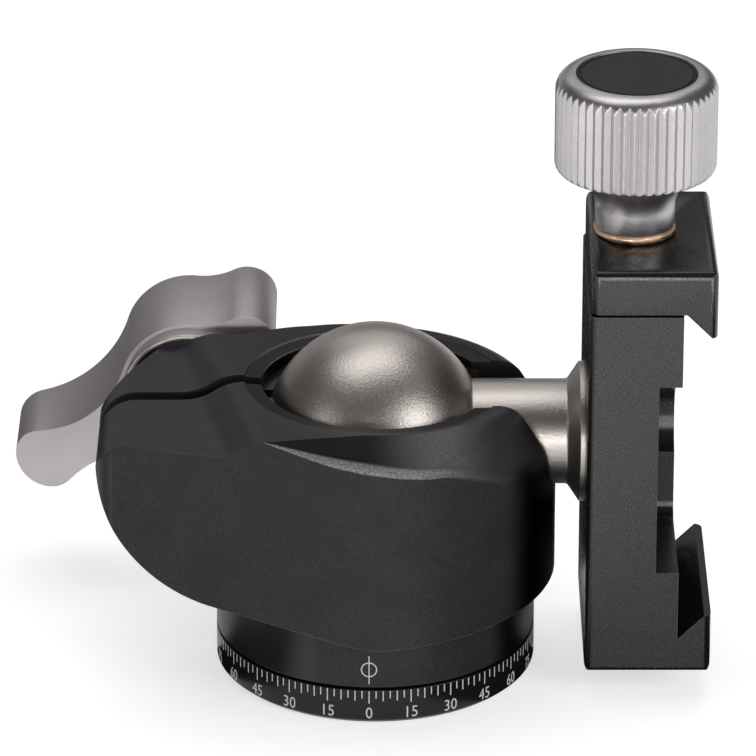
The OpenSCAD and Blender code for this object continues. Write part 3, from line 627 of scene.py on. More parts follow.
class Coat(Enum):
    """The finishes on the ball head."""

    BLACK = HousingMetal("black_milled", (0.034, 0.031, 0.036), 0.0, 0.36, 0.2)
    BASE = BlastedMetal(
        "black_turned", (0.007, 0.0066, 0.007), 0.0, 0.3, 0.28, grain=0.25, grain_depth=0.002,
        speckle=0.3, cloud=0.2, worn=(0.12, 0.12, 0.125), wear=0.6, edge_radius=0.15,
    )
    CLAMP = ClampMetal("black_blasted", (0.006, 0.006, 0.0065), 0.0, 0.27, 0.5)
    CHAMPAGNE = BlastedMetal(
        "champagne_blasted", (0.5, 0.46, 0.43), 1.0, 0.36, 0.5, grain=0.3, grain_depth=0.05,
        speckle=0.3, cloud=0.12, worn=(0.82, 0.8, 0.77), wear=0.55, edge_radius=0.12,
    )
    KNURL = BlastedMetal(
        "champagne_knurled", (0.5, 0.48, 0.485), 1.0, 0.34, 0.5, grain=0.24, grain_depth=0.03,
        speckle=0.5, cloud=0.1, worn=(0.95, 0.94, 0.95), wear=0.7, edge_radius=0.12,
    )
    WING = BlastedMetal(
        "champagne_milled", (0.5, 0.465, 0.475), 1.0, 0.55, 0.5, grain=0.24, grain_depth=0.005,
        speckle=0.3, cloud=0.1, worn=(0.92, 0.9, 0.88), wear=0.8, edge_radius=0.14,
    )
    STEEL = TurnedSteel("turned_steel", (0.55, 0.55, 0.57), 1.0, 0.3)
    SPRING = TurnedSteel("drawn_spring_wire", (0.42, 0.42, 0.45), 1.0, 0.36, line=0.08)
    BRONZE = WornBronze("worn_bronze", (1.0, 0.76, 0.56), 1.0, 0.3)
    DARK_POLYMER = MouldedPolymer("black_acetal", (0.012, 0.012, 0.013), 0.0, 0.28)
    PALE_POLYMER = MouldedPolymer("white_acetal", (0.76, 0.75, 0.7), 0.0, 0.38)
    INLAY = MouldedPolymer("satin_inlay", (0.009, 0.0085, 0.01), 0.0, 0.42, 0.3)
    MARKS = MarkPaint("mark_paint", (0.5, 0.5, 0.5), 0.0, 0.6)
    # black of the cards seen only in reflections, as painted shade
    SHADE_CARD = Finish("painted_shade_card", (0.012, 0.012, 0.012), 0.0, 0.9, 0.1)
    FLOOR = FloorPaper("floor_paper", (0.86, 0.86, 0.86), 0.0, 0.85, 0.2)


# ---------- shapes ----------


def part_way(value: float, low: float, high: float) -> float:
    """How far a value has come from low to high, kept between 0 and 1."""
    return min(1.0, max(0.0, (value - low) / (high - low)))


def eased(share: float) -> float:
    """Share from 0 to 1 that sets off and arrives slowly."""
    return share * share * (3.0 - 2.0 * share)


def put(name: str, data: bpy.types.ID) -> bpy.types.Object:
    """Adds an object to the scene.

    Args:
        name: Name of the object.
        data: Its mesh, curve, light or camera.

    Returns:
        The object.
    """
    thing = bpy.data.objects.new(name, data)
    bpy.context.scene.collection.objects.link(thing)
    return thing


def arc(centre: Point, radius: float, start: float, end: float, steps: int) -> list[Point]:
    """Points along a circular arc.

    Args:
        centre: Centre of the arc.
        radius: Its radius.
        start: First angle in degrees.
        end: Last angle in degrees; a smaller one turns clockwise.
        steps: Number of chords.

    Returns:
        The points, both ends included.
    """
    turn = [math.radians(start + (end - start) * i / steps) for i in range(steps + 1)]
    return [(centre[0] + radius * math.cos(a), centre[1] + radius * math.sin(a)) for a in turn]


def crossing(c1: Point, r1: float, c2: Point, r2: float, left: bool) -> Point:
    """Point where two circles cross.

    Args:
        c1: Centre of the first circle.
        r1: Its radius.
        c2: Centre of the second circle.
        r2: Its radius.
        left: Takes the crossing to the left of the line from c1 to c2.

    Returns:
        The crossing.
    """
    dx, dy = c2[0] - c1[0], c2[1] - c1[1]
    d = math.hypot(dx, dy)
    a = (r1 * r1 - r2 * r2 + d * d) / (2 * d)
    h = math.sqrt(max(0.0, r1 * r1 - a * a)) * (1 if left else -1)
    return (c1[0] + (a * dx - h * dy) / d, c1[1] + (a * dy + h * dx) / d)


def angle_at(centre: Point, point: Point) -> float:
    """Angle in degrees at which a point stands round a centre."""
    return math.degrees(math.atan2(point[1] - centre[1], point[0] - centre[0]))


def chain(circles: Sequence[tuple[Point, float]], step: float = 3.0) -> list[Point]:
    """Outline of circles that touch one another from outside, every other one hollow.

    Args:
        circles: Centre and radius of each circle, starting with a raised one.
        step: Largest turn between two points, in degrees.

    Returns:
        The closed outline, counter-clockwise.
    """
    count = len(circles)
    touch = []
    for i, (c, r) in enumerate(circles):
        n, s = circles[(i + 1) % count]
        share = r / (r + s)
        touch.append((c[0] + (n[0] - c[0]) * share, c[1] + (n[1] - c[1]) * share))
    outline: list[Point] = []
    for i, (c, r) in enumerate(circles):
        start, end = angle_at(c, touch[i - 1]), angle_at(c, touch[i])
        turn = (end - start) % 360.0
        if i % 2:
            turn -= 360.0
        steps = max(2, round(abs(turn) / step))
        outline += arc(c, r, start, start + turn, steps)[:-1]
    return outline


class Axis(Enum):
    """Which way a turned or extruded shape points."""

    X = Matrix(((0, 0, 1, 0), (1, 0, 0, 0), (0, 1, 0, 0), (0, 0, 0, 1)))
    Y = Matrix(((0, 1, 0, 0), (0, 0, 1, 0), (1, 0, 0, 0), (0, 0, 0, 1)))
    Z = Matrix.Identity(4)


class Blank:
    """A closed shape in millimetres that is cut and joined until it is settled as a piece."""

    def __init__(self, vertices: Sequence[Sequence[float]], faces: Sequence[Sequence[int]]) -> None:
        """Makes the shape from points and faces.

        Args:
            vertices: The points.
            faces: Numbers of each face's points.
        """
        mesh = bpy.data.meshes.new("blank")
        mesh.from_pydata([tuple(v) for v in vertices], [], [tuple(f) for f in faces])
        self.thing = put("blank", mesh)
        self.mend(1e-5)

    @classmethod
    def turned(
        cls, profile: Sequence[Point], axis: Axis = Axis.Z, at: Spot = (0, 0, 0), steps: int = 128
    ) -> "Blank":
        """Turns a closed profile round an axis.

        Args:
            profile: Radius and height of each point.
            axis: Direction of the heights.
            at: Place of the profile's origin.
            steps: Number of flat steps round the axis.

        Returns:
            The turned shape.
        """
        points: list[Vector] = []
        rows: list[list[int]] = []
        for r, h in profile:
            if r < 1e-6:
                rows.append([len(points)] * steps)
                points.append(Vector((0, 0, h)))
            else:
                rows.append([len(points) + k for k in range(steps)])
                turns = [2 * math.pi * k / steps for k in range(steps)]
                points += [Vector((r * math.cos(a), r * math.sin(a), h)) for a in turns]
        faces = []
        for i, row in enumerate(rows):
            after = rows[(i + 1) % len(rows)]
            for k in range(steps):
                n = (k + 1) % steps
                loop = list(dict.fromkeys((row[k], row[n], after[n], after[k])))
                if len(loop) > 2:
                    faces.append(loop)
        return cls([axis.value @ p + Vector(at) for p in points], faces)

    @classmethod
    def extruded(cls, outline: Sequence[Point], low: float, high: float, axis: Axis = Axis.Z) -> "Blank":
        """Carries a closed outline along an axis.

        Args:
            outline: Points across the axis: Y and Z for X, Z and X for Y, X and Y for Z.
            low: Where it starts.
            high: Where it ends.
            axis: Direction of the extrusion.

        Returns:
            The prism.
        """
        count = len(outline)
        points = [axis.value @ Vector((u, v, h)) for h in (low, high) for u, v in outline]
        faces = [list(range(count))[::-1], [count + i for i in range(count)]]
        faces += [[i, (i + 1) % count, count + (i + 1) % count, count + i] for i in range(count)]
        return cls(points, faces)

    @classmethod
    def rod(cls, r: float, low: float, high: float, axis: Axis, at: Spot, steps: int = 96) -> "Blank":
        """Cylinder of radius r from low to high along an axis through a point."""
        return cls.turned([(0, low), (r, low), (r, high), (0, high)], axis, at, steps)

    @classmethod
    def box(cls, low: Sequence[float], high: Sequence[float]) -> "Blank":
        """Box along the axes.

        Args:
            low: Its lowest corner.
            high: Its highest corner.

        Returns:
            The box.
        """
        return cls.extruded(
            [(low[0], low[1]), (high[0], low[1]), (high[0], high[1]), (low[0], high[1])], low[2], high[2]
        )

    def moved(self, pose: Matrix) -> "Blank":
        """Moves the shape by a matrix."""
        self.thing.data.transform(pose)
        return self

    def mend(self, reach: float) -> None:
        """Merges doubles and turns the faces outwards.

        Args:
            reach: Distance within which points are merged.
        """
        work = bmesh.new()
        work.from_mesh(self.thing.data)
        bmesh.ops.remove_doubles(work, verts=work.verts, dist=reach)
        bmesh.ops.dissolve_degenerate(work, edges=work.edges, dist=reach)
        bmesh.ops.recalc_face_normals(work, faces=work.faces)
        work.to_mesh(self.thing.data)
        work.free()

    def apply(self) -> None:
        """Turns the object's modifiers into plain mesh."""
        graph = bpy.context.evaluated_depsgraph_get()
        fresh = bpy.data.meshes.new_from_object(self.thing.evaluated_get(graph))
        old = self.thing.data
        self.thing.modifiers.clear()
        self.thing.data = fresh
        bpy.data.meshes.remove(old)

    def combine(self, other: "Blank", operation: str) -> "Blank":
        """Works on this shape with another one, which is used up.

        Args:
            other: The other shape.
            operation: Boolean operation.

        Returns:
            This shape.
        """
        tool = self.thing.modifiers.new("work", "BOOLEAN")
        tool.operation, tool.solver, tool.object = operation, "EXACT", other.thing
        self.apply()
        spent = other.thing.data
        bpy.data.objects.remove(other.thing)
        bpy.data.meshes.remove(spent)
        return self

    def cut(self, *others: "Blank") -> "Blank":
        """Takes other shapes away from this one.

        Args:
            others: The cutters, which are used up.

        Returns:
            This shape.
        """
        for other in others:
            self.combine(other, "DIFFERENCE")
        return self

    def join(self, other: "Blank") -> "Blank":
        """Adds another shape to this one."""
        return self.combine(other, "UNION")

    def keep(self, other: "Blank") -> "Blank":
        """Keeps what lies inside another shape."""
        return self.combine(other, "INTERSECT")

    def bevel(self, width: float, segments: int) -> None:
        """Rounds the edges that turn by more than 40 degrees.

        Args:
            width: Width of the rounding in millimetres.
            segments: Facets across it.
        """
        tool = self.thing.modifiers.new("edge", "BEVEL")
        tool.width, tool.segments = width, segments
        tool.limit_method, tool.angle_limit = "ANGLE", math.radians(40.0)
        self.apply()

    def settle(
        self, name: str, body: str, coat: Coat, slot: str, replaces: Sequence[str] = (), smooth: float = 32.0
    ) -> None:
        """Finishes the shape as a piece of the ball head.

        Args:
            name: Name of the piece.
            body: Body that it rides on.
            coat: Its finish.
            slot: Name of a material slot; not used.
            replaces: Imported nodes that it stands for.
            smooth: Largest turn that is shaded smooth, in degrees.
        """
        self.mend(1e-4)
        mesh = self.thing.data
        mesh.transform(Matrix.Scale(MM, 4))
        mesh.materials.clear()
        mesh.materials.append(coat.value.material())
        mesh.polygons.foreach_set("material_index", [0] * len(mesh.polygons))
        mesh.shade_smooth()
        mesh.set_sharp_from_angle(angle=math.radians(smooth))
        mesh.name = name
        self.thing.name = name
        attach(self.thing, body)
        if replaces:
            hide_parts(*replaces)
        log.info("%s: %d faces on %s", name, len(mesh.polygons), body)


def notch_cutter(radius: float, centre: float, top: float, steps: int) -> Blank:
    """Round-bottomed notch towards +X, where the stem lies down.

    Args:
        radius: Radius of its bottom.
        centre: Height of the bottom's centre.
        top: Height where the cutter ends.
        steps: Facets of the bottom.

    Returns:
        The cutter.
    """
    outline = [(-radius, top)] + arc((0.0, centre), radius, 180, 360, steps) + [(radius, top)]
    return Blank.extruded(outline, 0.0, 24.0, Axis.X)


# ---------- geometry nodes ----------


@dataclass
class Rule:
    """A Geometry Nodes tree with named sizes."""

    name: str
    sizes: dict[str, float]

    def __post_init__(self) -> None:
        """Opens the tree with its inputs."""
        self.tree = bpy.data.node_groups.new(self.name, "GeometryNodeTree")
        face = self.tree.interface
        face.new_socket("Geometry", in_out="INPUT", socket_type="NodeSocketGeometry")
        for label in self.sizes:
            face.new_socket(label, in_out="INPUT", socket_type="NodeSocketFloat")
        face.new_socket("Finish", in_out="INPUT", socket_type="NodeSocketMaterial")
        face.new_socket("Geometry", in_out="OUTPUT", socket_type="NodeSocketGeometry")
        self.bench = Bench(self.tree)
        self.inputs = self.bench.node("NodeGroupInput")

    def size(self, label: str) -> Term:
        """Named input of the tree."""
        return Term(self.bench, self.inputs.outputs[label])

    def close(self, shape: Term) -> None:
        """Ends the tree in Realize Instances and Set Material.

        Args:
            shape: Geometry that the tree has made.
        """
        real = self.bench.add("GeometryNodeRealizeInstances", inputs={"Geometry": shape})
        done = self.bench.add(
            "GeometryNodeSetMaterial", inputs={"Geometry": real, "Material": self.size("Finish")}
        )
        self.bench.node("NodeGroupOutput", inputs={0: done})

    def run(self, blank: Blank, coat: Coat) -> Blank:
        """Runs the tree on a shape.

        Args:
            blank: Shape that goes in.
            coat: Finish that the tree sets.

        Returns:
            The same shape with the result as plain mesh.
        """
        tool = blank.thing.modifiers.new(self.name, "NODES")
        tool.node_group = self.tree
        values: dict[str, Any] = {**self.sizes, "Finish": coat.value.material()}
        for item in self.tree.interface.items_tree:
            if item.in_out == "INPUT" and item.name in values:
                tool[item.identifier] = values[item.name]
        blank.apply()
        bpy.data.node_groups.remove(self.tree)
        return blank


def fluted(
    blank: Blank, radius: float, depth: float, teeth: int, foot: float, top: float, coat: Coat
) -> None:
    """Cuts pointed flutes all round a shape that stands on the Z axis.

    Args:
        blank: The turned shape.
        radius: Radius over the teeth.
        depth: Depth of the flutes.
        teeth: Number of teeth.
        foot: Height where the flutes start.
        top: Height where they end.
        coat: Finish of the shape.
    """
    sizes = {"Radius": radius, "Depth": depth, "Teeth": float(teeth), "Foot": foot, "Top": top}
    rule = Rule("flutes", sizes)
    bench = rule.bench
    x, y, z = bench.split(bench.add("GeometryNodeInputPosition"))
    reach = (x * x + y * y).maths("SQRT")
    turn = y.maths("ARCTAN2", x) / (2 * math.pi) + 1.0
    wave = ((turn * rule.size("Teeth")).fraction() * 2.0 - 1.0).absolute()
    limit = rule.size("Radius") - rule.size("Depth") * (1.0 - wave)
    inside = z.maths("GREATER_THAN", rule.size("Foot")) * z.maths("LESS_THAN", rule.size("Top"))
    scale = 1.0 + (reach.least(limit) / reach.most(0.01) - 1.0) * inside
    moved = bench.add("ShaderNodeCombineXYZ", inputs={0: x * scale, 1: y * scale, 2: z})
    rule.close(
        bench.add("GeometryNodeSetPosition", inputs={"Geometry": rule.size("Geometry"), "Position": moved})
    )
    rule.run(blank, coat)


# ---------- sub-assemblies ----------


@dataclass
class PanBase:
    """Base ring with its degree scale, and the hub that carries the housing."""

    radius: float = 18.3
    height: float = 4.3
    chamfer: float = 0.5
    groove: Sizes = (12.95, 16.05, 3.95)  # inner radius, outer radius, floor
    hub_r: float = 10.5
    hub_top: float = 10.6
    lock_z: float = 7.3
    lock_depth: float = 0.8
    bore_r: float = 6.32
    bush_top: float = 9.0
    zero: float = -92.2
    tick_step: float = 2.5
    tick_w: float = 0.13
    tick_drop: float = 0.12
    tick_lengths: Sizes = (0.92, 1.25, 1.57)  # short, medium, long
    digit_step: int = 15
    digit_h: float = 1.45
    digit_z: float = 0.74
    digit_squeeze: float = 0.86
    cap_share: float = 0.73
    sunk: float = 0.05
    proud: float = 0.02

    def ring(self) -> None:
        """Turned base ring with rounded edges; its bore leaves room for the bush."""
        r, h, hub, lock = self.radius, self.height, self.hub_r, self.lock_depth
        foot_e, top_e, root = 0.22, 0.18, 0.2
        inner, outer, floor = self.groove
        profile: list[Point] = [(self.bore_r, 0.0), (r - self.chamfer - 0.1, 0.0)]
        profile += arc((r - foot_e, self.chamfer + 0.12), foot_e, -45, 0, 4)
        profile += arc((r - top_e, h - top_e), top_e, 0, 90, 6)
        profile += [(outer, h), (outer, floor), (inner, floor), (inner, h)]
        profile += arc((hub + root, h + root), root, -90, -180, 3)
        profile += [(hub, self.lock_z - lock), (hub - lock, self.lock_z), (hub, self.lock_z + lock)]
        profile += [(hub, self.hub_top), (self.bore_r, self.hub_top), (self.bore_r, self.bush_top)]
        Blank.turned(profile, steps=256).settle(
            "base_ring_turned", "base", Coat.BASE, "black_anodised", ["base_ring"]
        )

    def ticks(self) -> None:
        """Degree lines round the wall, longer at each 5 and 15 degrees."""
        depth = 0.08
        sizes = {"Radius": self.radius, "Step": self.tick_step, "Zero": self.zero}
        sizes |= dict(zip(("Short", "Medium", "Long"), self.tick_lengths))
        sizes |= {"Top": self.height - self.tick_drop, "Width": self.tick_w, "Proud": self.proud}
        rule = Rule("degree_lines", sizes)
        bench = rule.bench
        number = bench.add("GeometryNodeInputIndex")

        def every(count: int) -> Term:
            """Term that is 1 on one line in so many."""
            return (number / float(count) + 0.01).fraction().maths("LESS_THAN", 0.05)

        turn = (number * rule.size("Step") + rule.size("Zero")) * (math.pi / 180)
        length = rule.size("Short") + (rule.size("Medium") - rule.size("Short")) * every(2)
        length = length + (rule.size("Long") - rule.size("Medium")) * every(6)
        reach = rule.size("Radius") + rule.size("Proud") - depth / 2
        spot = {0: turn.maths("COSINE") * reach, 1: turn.maths("SINE") * reach}
        spot[2] = rule.size("Top") - length / 2
        points = bench.add(
            "GeometryNodePoints",
            inputs={
                "Count": round(360 / self.tick_step),
                "Position": bench.add("ShaderNodeCombineXYZ", inputs=spot),
            },
        )
        placed = bench.add(
            "GeometryNodeInstanceOnPoints",
            inputs={
                "Points": points,
                "Instance": bench.add("GeometryNodeMeshCube", inputs={"Size": (1.0, 1.0, 1.0)}),
                "Rotation": bench.add("ShaderNodeCombineXYZ", inputs={2: turn}),
                "Scale": bench.add(
                    "ShaderNodeCombineXYZ", inputs={0: depth, 1: rule.size("Width"), 2: length}
                ),
            },
        )
        rule.close(placed)
        seed = Blank([(0, 0, 0)], [])
        rule.run(seed, Coat.MARKS).settle("degree_lines", "base", Coat.MARKS, "black_anodised")

    def digits(self) -> None:
        """Numbers under the long lines, mirrored on both sides of zero, bent onto the wall."""
        points: list[Vector] = []
        faces: list[list[int]] = []
        half = 180 // self.digit_step
        for label in range(1 - half, half + 1):
            mesh = self.letters(str(abs(label) * self.digit_step))
            middle = math.radians(self.zero + label * self.digit_step)
            base = len(points)
            for v in mesh.vertices:
                turn = middle + v.co.x / self.radius
                reach = self.radius + self.proud - self.sunk + v.co.z
                points.append(Vector((reach * math.cos(turn), reach * math.sin(turn), self.digit_z + v.co.y)))
            faces += [[base + i for i in p.vertices] for p in mesh.polygons]
            bpy.data.meshes.remove(mesh)
        Blank(points, faces).settle("degree_numbers", "base", Coat.MARKS, "black_anodised")

    def letters(self, text: str) -> bpy.types.Mesh:
        """Flat number about the origin, as high as the digits, with a little thickness.

        Args:
            text: The number.

        Returns:
            Its mesh, which the caller removes.
        """
        curve = bpy.data.curves.new("number", "FONT")
        curve.body, curve.align_x, curve.extrude = text, "CENTER", self.sunk
        curve.size = self.digit_h / self.cap_share
        curve.resolution_u, curve.space_character = 3, 1.02
        thing = put("number", curve)
        graph = bpy.context.evaluated_depsgraph_get()
        mesh = bpy.data.meshes.new_from_object(thing.evaluated_get(graph))
        bpy.data.objects.remove(thing)
        bpy.data.curves.remove(curve)
        work = bmesh.new()
        work.from_mesh(mesh)
        bmesh.ops.remove_doubles(work, verts=work.verts, dist=1e-5)
        work.to_mesh(mesh)
        work.free()
        mesh.transform(Matrix.Diagonal((self.digit_squeeze, 1.0, 1.0, 1.0)))
        return mesh

    def build(self) -> None:
        """Builds the base."""
        self.ring()
        self.ticks()
        self.digits()


@dataclass
class Housing:
    """Teardrop housing whose rolled crown runs out towards the ears, with its index collar."""

    radius: float = 20.6
    base_z: float = 3.0
    rim: float = 34.2
    top_z: float = 34.4
    fall: Sizes = (0.02, 0.022)  # drop of the top per millimetre of X and of Y
    ball_z: float = 28.1
    mouth_r: float = 12.9
    band: Sizes = (13.0, 14.85, 0.3)  # inner radius, outer radius, depth
    crown_low_r: float = 5.2
    crown_top_r: float = 3.0
    crown_drop: float = 7.4
    crown_start: float = -12.5
    crown_least: float = 0.03
    crown_tilt: Sizes = (0.27, 0.5)  # rise over run of the front slope, at its left and right end
    slope_x: Sizes = (-4.0, 7.0, 18.0)  # steepens from the first, is the full roll from the last
    ears_x: float = -20.0
    ridge_r: Sizes = (0.12, 1.3)  # rounding where the crown isn't rolled, and growth with the roll
    back_roll: tuple[Point, ...] = ((-16.5, 0.1), (-12.8, 0.46), (-8.7, 0.73), (-4.1, 0.85), (2.0, 1.0))
    back_fade: float = 3.5
    corner_x: Sizes = (-23.5, -29.5)  # where the left front corner's roll starts and where it is full
    corner_roll: float = 0.6
    ear_reach: float = 31.5
    ear_corner: float = 3.2
    ear_back: float = 13.0
    ear_top: float = 32.5
    ear_end: Sizes = (28.2, 63.5, 25.0)  # reach, then turn and lean in degrees
    back_fillet: float = 2.0
    front_angle: float = 16.0
    front_y: float = -9.99
    nose: tuple[Point, float] = ((-27.0, 28.0), 4.5)  # X and Z of its centre, then radius
    belly: tuple[Point, float] = ((-15.5, 29.5), 16.0)
    belly_slope: float = 10.7
    heel_slope: float = 4.0
    step_x: Sizes = (-22.0, -15.0)  # where the step up from the ears starts and ends
    step_lean: float = 0.22
    collar_r: float = 18.3
    collar_z: float = 4.6
    collar_top: float = 14.8
    notch_r: float = 6.6
    slit: float = 2.2
    slit_foot: float = 12.1
    hub_bore: float = 10.55
    hub_top: float = 10.2
    clip_groove: Sizes = (13.7, 13.55, 14.65)  # radius, foot, top
    liner_seat: Sizes = (13.65, 19.5, 32.8)  # radius, foot, top
    glide_groove: Sizes = (12.9, 16.1, 4.75)  # inner radius, outer radius, roof
    lever: Point = (-21.8, 26.5)  # X and Z of the lever's axis
    stud_r: float = 3.1
    nut_pocket: Sizes = (4.52, -8.15, -9.4)  # radius, Y of its floor, Y of the stud's end
    collar_recess: float = 7.8
    wing_room: Sizes = (12.41, 15.2)  # radius, Y of its floor
    behind: float = 30.0
    lock_bore: Sizes = (2.05, 9.5, 7.3)  # radius, Y of its inner end, height
    index_z: float = 6.9
    index_r: Sizes = (0.79, 0.93)  # inner and outer radius of the circle
    index_line: Sizes = (0.06, 5.09, 8.64)  # half width, foot, top

    def top(self, x: float, y: float) -> float:
        """Height of the top, which falls a little towards the notch and the back."""
        return self.top_z - self.fall[0] * x - self.fall[1] * y

    def roll(self, x: float, y: float) -> float:
        """How far the crown is rolled at a point of the wall, from 0 to 1.

        Args:
            x: Place along X.
            y: Place along Y.

        Returns:
            Scale of the crown's section.
        """
        if y < 0:
            front = math.sin(math.pi / 2 * part_way(x, self.crown_start, 0.0) ** 1.1)
            corner = self.corner_roll * eased(part_way(x, *self.corner_x))
            return max(self.crown_least, front, corner)
        rows = self.back_roll
        start, least = rows[0]
        if x <= start:
            return max(self.crown_least, least * part_way(x, start - self.back_fade, start))
        for (x0, k0), (x1, k1) in zip(rows, rows[1:]):
            if x <= x1:
                return k0 + (k1 - k0) * (x - x0) / (x1 - x0)
        return 1.0

    def walls(self) -> list[tuple[float, float, float, float]]:
        """Stations round the wall.

        Returns:
            Place and outward direction of each, counter-clockwise from the flat front's end.
        """
        e, r = self.ear_corner, self.radius
        left, flat = -self.ear_reach + e, 270.0 - self.front_angle
        fillet_y = self.ear_back + self.back_fillet
        fillet_x = -math.sqrt((r + self.back_fillet) ** 2 - fillet_y**2)
        back = math.degrees(math.atan2(fillet_y, fillet_x))
        out: list[tuple[float, float, float, float]] = []

        def bend(centre: Point, size: float, start: float, end: float, steps: int, way: int = 1) -> None:
            """Adds stations on an arc; way is 1 where its outside is its far side, otherwise -1."""
            for x, y in arc(centre, size, start, end, steps):
                out.append((x, y, way * (x - centre[0]) / size, way * (y - centre[1]) / size))

        bend((0.0, 0.0), r, flat - 360.0, back, 240)
        bend((fillet_x, fillet_y), self.back_fillet, back - 180.0, -90.0, 10, -1)
        steps = 14
        out += [(fillet_x + (left - fillet_x) * i / steps, self.ear_back, 0.0, 1.0) for i in range(1, steps)]
        bend((left, self.ear_back - e), e, 90.0, 180.0, 18)
        bend((left, self.front_y), e, 180.0, flat, 16)
        nx, ny = math.cos(math.radians(flat)), math.sin(math.radians(flat))
        x0, y0 = left + e * nx, self.front_y + e * ny
        steps = 40
        out += [
            (x0 + (r * nx - x0) * i / steps, y0 + (r * ny - y0) * i / steps, nx, ny) for i in range(1, steps)
        ]
        tidy = [out[0]]
        for station in out[1:]:
            if math.hypot(station[0] - tidy[-1][0], station[1] - tidy[-1][1]) > 1e-3:
                tidy.append(station)
        return tidy

    def section(self) -> list[Point]:
        """Full crown section.

        Returns:
            Distance inwards from the wall and drop below the rim of each point.
        """
        low, top, drop = self.crown_low_r, self.crown_top_r, self.crown_drop
        tilt = math.degrees(math.asin((low - top) / (drop - top)))
        under = [(low - x, drop - y) for x, y in arc((0, 0), low, 0, tilt, 10)]
        over = [(low - x, top - y) for x, y in arc((0, 0), top, tilt, 90, 20)]
        return under + over

    def slope(self, x: float, y: float, k: float) -> list[Point]:
        """Section of the crown at a point of the wall.

        Args:
            x: Place along X.
            y: Place along Y.
            k: How far the crown is rolled there.

        Returns:
            Distance inwards and drop of each point: a slope over a small rounding in front,
            which grows into the full roll towards the notch.
        """
        full = [(d * k, drop * k) for d, drop in self.section()]
        steepens, steep, rolled = self.slope_x
        share = 1.0 if y >= 0 or x < self.ears_x else eased(part_way(x, steep, rolled))
        low, high = self.crown_tilt
        tilt = math.atan(low + (high - low) * eased(part_way(x, steepens, steep)))
        least, growth = self.ridge_r
        reach, half = self.crown_low_r * k, math.tan((math.pi / 2 - tilt) / 2)
        tangent = min((least + growth * k) * half, 0.45 * reach / math.cos(tilt))
        rounding = tangent / half
        corner = reach * math.tan(tilt)
        under, over = 11, len(full) - 11
        sloped: list[Point] = []
        for i in range(under):
            a = (math.pi / 2 - tilt) * i / (under - 1)
            sloped.append((rounding * (1 - math.cos(a)), corner + tangent - rounding * math.sin(a)))
        d0, h0 = sloped[-1]
        sloped += [(d0 + (reach - d0) * i / over, h0 * (1 - i / over)) for i in range(1, over + 1)]
        return [(a[0] + (b[0] - a[0]) * share, a[1] + (b[1] - a[1]) * share) for a, b in zip(sloped, full)]

    def shell(self) -> Blank:
        """Body with its rolled crown.

        Returns:
            The body before the side view trims it.
        """
        stations = self.walls()
        points: list[tuple[float, float, float]] = []
        for x, y, nx, ny in stations:
            points.append((x, y, self.base_z))
            for d, drop in self.slope(x, y, self.roll(x, y)):
                u, v = x - nx * d, y - ny * d
                points.append((u, v, self.top(u, v) - drop))
        rows, count = len(self.section()) + 1, len(stations)
        faces = []
        for i in range(count):
            n = (i + 1) % count
            faces += [
                [i * rows + j, n * rows + j, n * rows + j + 1, i * rows + j + 1] for j in range(rows - 1)
            ]
        faces.append([i * rows for i in range(count)][::-1])
        faces.append([i * rows + rows - 1 for i in range(count)])
        return Blank(points, faces)

    def side(self) -> Blank:
        """Side view: belly, nose, ears' top and the S curve up to the rim.

        Returns:
            The side view carried along Y, with the S curve slanted across it.
        """
        (bc, br), (nc, nr) = self.belly, self.nose
        far = self.radius + 2.0
        slope = math.tan(math.radians(self.belly_slope))
        heel_a = 270.0 - self.belly_slope
        heel = (bc[0] + br * math.cos(math.radians(heel_a)), bc[1] + br * math.sin(math.radians(heel_a)))
        under = heel[1] + heel[0] * slope
        meet = crossing(bc, br, nc, nr, False)
        outline: list[Point] = [(far, under + far * math.tan(math.radians(self.heel_slope))), (0.0, under)]
        outline += arc(bc, br, heel_a, angle_at(bc, meet) % 360.0, 44)
        outline += arc(nc, nr, angle_at(nc, meet) % 360.0, 90.0, 30)[1:]
        x0, x1 = self.step_x
        rim = self.top(x1, 0.0) + 0.015
        rise = rim - self.ear_top
        size = ((x1 - x0) ** 2 + rise**2) / (4 * rise)
        lean = math.degrees(math.atan2((x1 - x0) / 2, size - rise / 2))
        outline += arc((x0, self.ear_top + size), size, 270.0, 270.0 + lean, 20)
        outline += arc((x1, rim - size), size, 90.0 + lean, 90.0, 20)[1:]
        outline += [(x1, rim + 2.0), (far, rim + 2.0)]
        blank = Blank.extruded([(z, x) for x, z in outline], -24.0, 21.0, Axis.Y)
        for v in blank.thing.data.vertices:
            if v.co.z > self.ear_top - 0.01 and x0 - 0.5 < v.co.x < x1 + 0.5:
                v.co.x -= self.step_lean * v.co.y
            v.co.z -= self.fall[1] * v.co.y * min(1.0, max(0.0, (v.co.z - self.ear_top) / rise))
        return blank

    def beyond_ear(self) -> Blank:
        """Room beyond the slanted end of the back ear.

        Returns:
            A block whose one face makes the slanted end.
        """
        reach, turn, lean = self.ear_end[0], *map(math.radians, self.ear_end[1:])
        spot = Vector((-reach * math.sin(turn), reach * math.cos(turn), self.ear_top))
        pose = Matrix.Translation(spot) @ Matrix.Rotation(turn, 4, "Z") @ Matrix.Rotation(lean, 4, "X")
        return Blank.box((-40.0, 0.0, -40.0), (40.0, 40.0, 40.0)).moved(pose)

    def bore(self) -> Blank:
        """Stepped bore for the hub, the seat's circlip and the liner.

        Returns:
            Its cutter, up through the mouth.
        """
        m, over = self.mouth_r, self.rim + 3.0
        clip_r, clip_low, clip_high = self.clip_groove
        liner_r, liner_low, liner_high = self.liner_seat
        profile = [(0, self.base_z), (self.hub_bore, self.base_z), (self.hub_bore, self.hub_top)]
        profile += [(m, self.hub_top), (m, clip_low), (clip_r, clip_low), (clip_r, clip_high), (m, clip_high)]
        profile += [(m, liner_low), (liner_r, liner_low), (liner_r, liner_high), (m, liner_high)]
        return Blank.turned(profile + [(m, over), (0, over)], steps=192)

